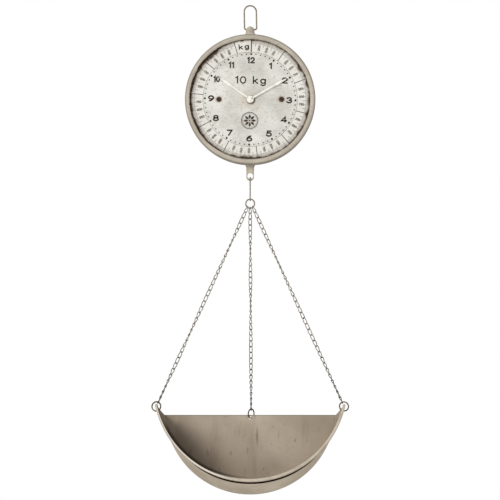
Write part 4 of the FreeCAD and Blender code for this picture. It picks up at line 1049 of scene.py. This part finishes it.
def hand_outline(length, leaf_start, leaf_half):
    """The outline of a hand from the hub out: a thin shaft, a long lozenge and a fine tip."""
    shaft_half = 0.00135
    tip_half = 0.00045
    reach = length - leaf_start
    swell, taper = 0.20, 0.55
    side = [(shaft_half, 0.002), (shaft_half, leaf_start)]
    for step in range(1, 6):
        share = step / 5
        side.append((shaft_half + (leaf_half - shaft_half) * math.sin(math.pi / 2 * share),
                     leaf_start + reach * swell * share))
    for step in range(1, 9):
        share = step / 8
        side.append((leaf_half + (tip_half - leaf_half) * share,
                     leaf_start + reach * (swell + taper * share)))
    side.append((0.0003, length))
    return side + [(-x, z) for x, z in reversed(side)]


def hand(name, node, body, degrees, length, leaf_start, leaf_half, hub):
    """One hand, its blade slightly rounded, with the hub disc that it is pressed on."""
    low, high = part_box(node)
    outline = hand_outline(length, leaf_start, leaf_half)
    blade = flat_plate(name + "_blade", [outline], low.y, high.y - low.y, 0.00018)
    turned = Matrix.Rotation(math.radians(degrees), 4, "Y")
    blade.transform(Matrix.Translation((0, 0, CASE_Z)) @ turned)
    points = [vertex.co.copy() for vertex in blade.vertices]
    faces = [list(polygon.vertices) for polygon in blade.polygons]
    bpy.data.meshes.remove(blade)
    bore = 0.0010
    edge = 0.0002
    profile = [(bore, low.y), (hub - edge, low.y), (hub, low.y + edge), (hub, high.y), (bore, high.y)]
    disc = lathe(profile, Vector((0, 0, CASE_Z)), segments=64)
    piece_from_shape(name, join([(points, faces), disc]), HAND_PAINT, body, "hand_paint", [node],
                     crisp=35)


def hands():
    """The minute hand at two, the hour hand a little past ten, and the nut in front of them."""
    hand("minute_hand_leaf", "minute_hand", "minute_arbor", 60,
         length=0.0729, leaf_start=0.0490, leaf_half=0.0024, hub=0.0050)
    hand("hour_hand_leaf", "hour_hand", "hour_arbor", 305,
         length=0.0679, leaf_start=0.0400, leaf_half=0.0027, hub=0.0060)
    low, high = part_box("hand_cap_nut")
    angles = [math.radians(angle) for angle in range(10, 90, 10)]
    profile = domed_head(size_of("hand_cap_nut").x / 2, high.y, high.y - low.y, 0.4, angles)
    shape = lathe(profile, Vector((0, 0, CASE_Z)), segments=48)
    piece_from_shape("cap_nut", shape, HAND_PAINT, "minute_arbor", "hand_paint", ["hand_cap_nut"])


# ---------------------------------------------------------------- load hook, rings and chains

def bend(start, corner, end, steps=8):
    """A smooth turn of the wire from start to end that leans towards the corner."""
    points = []
    for step in range(1, steps):
        share = step / steps
        points.append(start * (1 - share) ** 2 + corner * 2 * share * (1 - share) + end * share ** 2)
    return points


def hook_wire():
    """One wire: an open eye through the lug, a straight shank, and a small closed eye below."""
    low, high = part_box("load_hook")
    wire = size_of("load_hook").x / 2
    rounding = 0.0022
    upper_radius = size_of("load_hook").y / 2 - wire
    upper = high.z - wire - upper_radius
    ring_centre, ring_radius, _ = ring_measures("load_ring")
    lower = ring_centre.z + ring_radius + 0.0003
    lower_radius = lower - low.z - wire
    neck = Vector((0, 0, upper - upper_radius + 0.0002))
    shank_top = Vector((0, 0, upper - upper_radius - rounding))
    shank_bottom = Vector((0, 0, lower + lower_radius + rounding * 0.8))
    path = [Vector((0, y, z)) for y, z in arc((0, upper), upper_radius, 236, -68, 40)]
    path += bend(path[-1], neck, shank_top)
    path += [shank_top.lerp(shank_bottom, step / 10) for step in range(11)]
    eye = [Vector((0, y, z)) for y, z in arc((0, lower), lower_radius, 62, -248, 30)]
    path += bend(shank_bottom, Vector((0, 0, lower + lower_radius)), eye[0]) + eye
    piece_from_shape("hook_wire", tube(path, wire, 16), HOOK_WIRE, "hook", "aged_wire", ["load_hook"])


def wire_ring(name, node, body, metal, centre, radius, wire, turn=0.0, uneven=0.0):
    """A ring of round wire in an upright plane, turned about Z, a little out of round."""
    path = []
    for step in range(64):
        angle = TURN * step / 64
        reach = radius * (1 + uneven * math.cos(2 * angle + 0.7))
        flat = reach * math.cos(angle)
        path.append(centre + Vector((flat * math.cos(turn), flat * math.sin(turn),
                                     reach * math.sin(angle))))
    piece_from_shape(name, tube(path, wire, 18, closed=True), metal, body, "aged_wire", [node])


CHAIN_METAL = chain_metal()
LINK_PITCH = 0.0102
LINK_PLAY = 0.00015
LINK_WIRE = 0.0007
LINK_WIDTH = 0.0062
LINK_TWIST = math.radians(33)
CHAIN_SPREAD = math.radians(37)
SIDE_RING_TURN = math.radians(18)
BACK_RING_TURN = math.radians(50)
CHAIN_TURNS = {
    # share of the length, then the angle: 0 shows the flat of the chain to the front, 90 its edge
    "left": [(0, -45), (0.18, 90), (0.42, 160), (0.66, 270), (0.93, 450), (1, 450)],
    "right": [(0, -45), (0.28, 90), (0.97, 270), (1, 256)],
    "back": [(0, -45), (0.21, 90), (0.47, 270), (0.98, 450), (1, 455)]}


def curb_link(inner_length):
    """The middle line of a link as (across, along, twist) points; its ends twist opposite ways."""
    half = LINK_WIDTH / 2 - LINK_WIRE
    straight = (inner_length + 2 * LINK_WIRE - 2 * half) / 2
    outline = [(half * math.cos(math.radians(a)), straight + half * math.sin(math.radians(a)))
               for a in range(0, 181, 15)]
    outline += [(-half, straight * (1 - 2 * step / 8)) for step in range(1, 8)]
    outline += [(-x, -z) for x, z in outline[:13]]
    outline += [(half, -straight * (1 - 2 * step / 8)) for step in range(1, 8)]
    points = []
    for across, along in outline:
        share = max(-1.0, min(1.0, along / (straight + half * 0.4)))
        points.append((across, along, LINK_TWIST * share))
    return points


def turned_to(keys, share):
    """The angle of the chain at a share of its length, from a few listed places."""
    for (first, start), (last, end) in zip(keys, keys[1:]):
        if share <= last:
            return math.radians(start + (end - start) * (share - first) / (last - first))
    return math.radians(keys[-1][1])


def chain(name, start, end, hold, keys):
    """A curb chain from one wire to another, turning slowly about its own length."""
    reach = end - start
    along = reach.normalized()
    links = 2 * round((reach.length / LINK_PITCH - 1) / 2) + 1
    pitch = (reach.length + 2 * hold - LINK_PLAY) / links
    outline = curb_link(pitch + LINK_PLAY)
    depth = (Vector((0, 1, 0)) - along * along.y).normalized()
    face = depth.cross(along) * -1
    if face.x < 0:
        face = -face
    parts = []
    for number in range(links):
        centre = start + along * ((pitch + LINK_PLAY) / 2 - hold + number * pitch)
        heading = turned_to(keys, number / (links - 1))
        path = []
        for across, lengthwise, twist in outline:
            angle = heading - twist
            wide = face * math.cos(angle) + depth * math.sin(angle)
            path.append(centre + wide * across - along * lengthwise)
        parts.append(tube(path, LINK_WIRE, 10, closed=True))
    piece_from_shape(name + "_links", join(parts), CHAIN_METAL, "sling", "aged_wire", [name])


def sling_wires():
    """The load ring, the three rings of the pan and the three chains between them."""
    load_centre, load_radius, wire = ring_measures("load_ring")
    hold = wire + LINK_PLAY
    wire_ring("load_ring_wire", "load_ring", "load_ring_body", HOOK_WIRE, load_centre, load_radius, wire,
              uneven=-0.012)
    for label, side in (("left", -1), ("right", 1)):
        centre, radius, wire = ring_measures(label + "_ring")
        wire_ring(label + "_ring_wire", label + "_ring", "sling", RING_WIRE, centre, radius, wire,
                  turn=-SIDE_RING_TURN * side, uneven=0.02 * side)
        start = load_centre + Vector((side * math.sin(CHAIN_SPREAD), 0,
                                      -math.cos(CHAIN_SPREAD))) * load_radius
        pull = Vector((start.x - centre.x, 0, start.z - centre.z)).normalized()
        chain(label + "_chain", start, centre + pull * radius, hold, CHAIN_TURNS[label])
    centre = middle_of("back_ring")
    wire_ring("back_ring_wire", "back_ring", "sling", RING_WIRE, centre, radius, wire,
              BACK_RING_TURN, -0.02)
    start = load_centre + Vector((0, 0, -load_radius))
    chain("back_chain", start, centre + Vector((0, 0, radius)), hold, CHAIN_TURNS["back"])


# ---------------------------------------------------------------- pan

PAN_OUTSIDE = pan_outside()
PAN_INSIDE = pan_inside()


def pan_section(share, growth):
    """Radius, centre height and half angle of the trough at a share of the way to the back.

    The top edge falls in a straight line from the ears and levels off just before the back wall.
    """
    soft = 0.14
    radius = MOUTH_RADIUS + (WALL_RADIUS - SHEET / 2 - MOUTH_RADIUS) * share + growth
    centre = MOUTH_CENTRE + (WALL_CENTRE - MOUTH_CENTRE) * share
    fall = (math.hypot(1 - share, soft) - soft) / (math.hypot(1, soft) - soft)
    edge = EDGE_Z + (EAR_Z - EDGE_Z) * fall
    return radius, centre, math.acos((centre - edge) / radius)


def trough():
    """The curved sheet from the mouth to the back wall, with a hole in each ear for its ring."""
    rows = 28
    columns = 160
    points = []
    for growth in (SHEET / 2, -SHEET / 2):
        for row in range(rows + 1):
            share = row / rows
            radius, centre, half = pan_section(share, growth)
            for column in range(columns + 1):
                angle = half * (2 * column / columns - 1)
                points.append(Vector((radius * math.sin(angle), MOUTH_Y + (BACK_Y - MOUTH_Y) * share,
                                      centre - radius * math.cos(angle))))
    outside = grid_faces(rows + 1, columns + 1)
    shift = (rows + 1) * (columns + 1)
    inside = [[index + shift for index in reversed(face)] for face in outside]
    border = list(range(columns + 1))
    border += [row * (columns + 1) + columns for row in range(1, rows + 1)]
    border += [rows * (columns + 1) + column for column in range(columns - 1, -1, -1)]
    border += [row * (columns + 1) for row in range(rows - 1, 0, -1)]
    rim = [[following, here, here + shift, following + shift]
           for here, following in zip(border, border[1:] + border[:1])]
    mesh = mesh_of("trough_sheet", points, outside + inside + rim)
    shades = [0] * len(outside) + [1] * len(inside) + [0] * len(rim)
    piece = pan_piece("trough_sheet", mesh, shades, "pan_trough")
    drill(piece, Vector((0, EAR_HOLE_Y, EAR_HOLE_Z)), 0.4)
    sharpen(piece, 35)


def pan_piece(name, mesh, shades, node, crisp=None):
    """A sheet of the pan, each face painted as outside, 0, or inside, 1."""
    return piece_from_mesh(name, mesh, [PAN_OUTSIDE, PAN_INSIDE], "sling", "pan_paint", [node],
                           crisp=crisp, shades=shades)


def drill(piece, centre, length, sides=24):
    """Cuts a round hole along X right through a piece and keeps the result as its mesh."""
    points = []
    for end in (-1, 1):
        for step in range(sides):
            angle = TURN * step / sides
            points.append(centre + Vector((end * length / 2, HOLE_RADIUS * math.cos(angle),
                                           HOLE_RADIUS * math.sin(angle))))
    faces = grid_faces(2, sides, close_columns=True)
    faces += [list(reversed(range(sides))), list(range(sides, 2 * sides))]
    bit = bpy.data.objects.new("passing_bit", mesh_of("passing_bit", points, faces))
    bpy.context.collection.objects.link(bit)
    cut = piece.modifiers.new("hole", "BOOLEAN")
    cut.object = bit
    cut.solver = "EXACT"
    graph = bpy.context.evaluated_depsgraph_get()
    mesh = bpy.data.meshes.new_from_object(piece.evaluated_get(graph))
    piece.modifiers.clear()
    piece.data = mesh
    bpy.data.objects.remove(bit)


def back_wall():
    """The flat end of the pan with its level top edge and the hole for the back ring."""
    dip = math.degrees(math.asin((WALL_CENTRE - EDGE_Z) / WALL_RADIUS))
    outline = arc((0, WALL_CENTRE), WALL_RADIUS, 180 + dip, 360 - dip, 120)
    ring = arc((0, BACK_HOLE_Z), HOLE_RADIUS, 0, 360, 24)[:-1]
    mesh = flat_plate("back_sheet", [outline, ring], BACK_Y, SHEET, 0.0002)
    middle = BACK_Y + SHEET / 2
    shades = [1 if polygon.center.y < middle else 0 for polygon in mesh.polygons]
    pan_piece("back_sheet", mesh, shades, "pan_back", crisp=50)


def bead():
    """The wired rim of the mouth, rounded off at both ear tips."""
    dip = math.degrees(math.asin((MOUTH_CENTRE - EAR_Z) / MOUTH_RADIUS))
    path = [Vector((x, MOUTH_Y, z)) for x, z in
            arc((0, MOUTH_CENTRE), MOUTH_RADIUS, 180 + dip, 360 - dip, 200)]

    def slimmer_at_ends(share):
        """Full at the bottom of the mouth and three quarters of that at the ears."""
        return 0.76 + 0.24 * math.sin(math.pi * share) ** 1.5

    shape = tube(path, BEAD, 20, radius_at=slimmer_at_ends)
    piece_from_shape("rolled_bead", shape, bead_paint(), "sling", "pan_paint", ["rim_bead"])


def hem():
    """A dark strip behind the bead that stands for the shade in the seam under it, with some dirt: a dark
    line that runs out on both sides.
    """
    middle = 3
    reach = 44
    steps = 120
    proud = 0.0029
    sunk = 0.0012
    low = MOUTH_RADIUS - SHEET / 2
    front = MOUTH_Y + BEAD * 0.4
    rear = front + 0.0024
    points = []
    for step in range(steps + 1):
        share = 2 * step / steps - 1
        angle = math.radians(middle + reach * share)
        fade = abs(share) ** 3
        high = MOUTH_RADIUS + BEAD + proud * (1 - fade) - sunk * fade
        for radius, y in ((low, front), (high, front), (high, rear), (low, rear)):
            points.append(Vector((radius * math.sin(angle), y, MOUTH_CENTRE - radius * math.cos(angle))))
    faces = grid_faces(steps + 1, 4, close_columns=True)
    faces += [[3, 2, 1, 0], [4 * steps, 4 * steps + 1, 4 * steps + 2, 4 * steps + 3]]
    piece_from_shape("hem_shadow_strip", (points, faces), hem_grime(), "sling", "pan_paint", smooth=False)


# ---------------------------------------------------------------- the parts kept from the frame

def frame_materials():
    """A finish of its own for each material of the parts that stay as they are."""
    finishes = {
        "case_paint": CASE_PAINT,
        "zinc_steel": plain_material("zinc_steel", (176, 176, 172), (140, 139, 134), 0.38, 0.9),
        "fixing_brass": plain_material("fixing_brass", (196, 160, 92), (160, 126, 66), 0.34, 0.9),
        "movement_plastic": plain_material("movement_plastic", (40, 40, 41), (26, 26, 27), 0.55),
        "wheel_plastic": plain_material("wheel_plastic", (232, 229, 220), (214, 210, 199), 0.4),
        "coil_copper": plain_material("coil_copper", (178, 104, 62), (134, 72, 40), 0.35, 0.8),
        "board_green": plain_material("board_green", (44, 104, 64), (30, 82, 48), 0.4),
        "washer_rubber": plain_material("washer_rubber", (44, 43, 42), (30, 30, 29), 0.8),
        "battery_jacket": plain_material("battery_jacket", (74, 76, 80), (58, 60, 64), 0.3, 0.4)}
    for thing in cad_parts.values():
        for place in thing.material_slots:
            name = place.material.name.split(".")[0] if place.material else ""
            if name in finishes:
                place.material = finishes[name]


# ---------------------------------------------------------------- floor, light and camera

def floor():
    """A plain pale disc under the object, low enough to stay out of the main view."""
    sides = 96
    points = [Vector((x, y, -1.9)) for x, y in arc((0, 0), 3.5, 0, 360, sides)[:-1]]
    disc = bpy.data.objects.new("floor", mesh_of("floor", points, [list(range(sides))]))
    bpy.context.collection.objects.link(disc)
    disc.data.materials.append(plain_material("floor", (238, 237, 234), (232, 231, 228), 0.9,
                                              grain=3, strength=0.0))


def lamp(name, place, target, size, power):
    """A round white lamp at a place, facing a target."""
    light = bpy.data.lights.new(name, "AREA")
    light.shape = "DISK"
    light.size = size
    light.energy = power
    holder = bpy.data.objects.new(name, light)
    holder.location = place
    holder.rotation_euler = (Vector(target) - Vector(place)).to_track_quat("-Z", "Y").to_euler()
    bpy.context.collection.objects.link(holder)


def surroundings():
    """A white studio that looks plain white and lights the object softly."""
    world = bpy.data.worlds.new("studio")
    bpy.context.scene.world = world
    world.use_nodes = True
    tree = world.node_tree
    seen = tree.nodes["Background"]
    seen.inputs["Color"].default_value = (1, 1, 1, 1)
    seen.inputs["Strength"].default_value = 1.0
    soft = tree.nodes.new("ShaderNodeBackground")
    soft.inputs["Color"].default_value = (1, 0.99, 0.97, 1)
    soft.inputs["Strength"].default_value = 0.55
    path = tree.nodes.new("ShaderNodeLightPath")
    mix = tree.nodes.new("ShaderNodeMixShader")
    tree.links.new(path.outputs["Is Camera Ray"], mix.inputs[0])
    tree.links.new(soft.outputs[0], mix.inputs[1])
    tree.links.new(seen.outputs[0], mix.inputs[2])
    tree.links.new(mix.outputs[0], tree.nodes["World Output"].inputs["Surface"])
    bpy.context.scene.view_settings.view_transform = "Standard"


def camera():
    """Straight on from the front, with a long lens, near the middle height of the object."""
    distance = 4.5
    frame_width = 0.85
    aim_x, aim_z = -0.0003, -0.4141
    lens = bpy.data.cameras.new("camera")
    lens.sensor_width = 36
    lens.lens = lens.sensor_width * distance / frame_width
    holder = bpy.data.objects.new("camera", lens)
    holder.location = (aim_x, -distance, aim_z)
    holder.rotation_euler = (math.pi / 2, 0, 0)
    bpy.context.collection.objects.link(holder)
    bpy.context.scene.camera = holder


bail()
top_lug()
bottom_lug()
bezel()
drum()
back()
dial()
dial_print()
weight_scale()
dial_screws()
hands()
hook_wire()
sling_wires()
trough()
back_wall()
bead()
hem()
frame_materials()
floor()
lamp("key", (-1.9, -2.6, 0.9), (0, 0, -0.3), 1.2, 60)
lamp("fill", (2.4, -2.6, -0.6), (0, 0, -0.4), 2.4, 14)
surroundings()
camera()
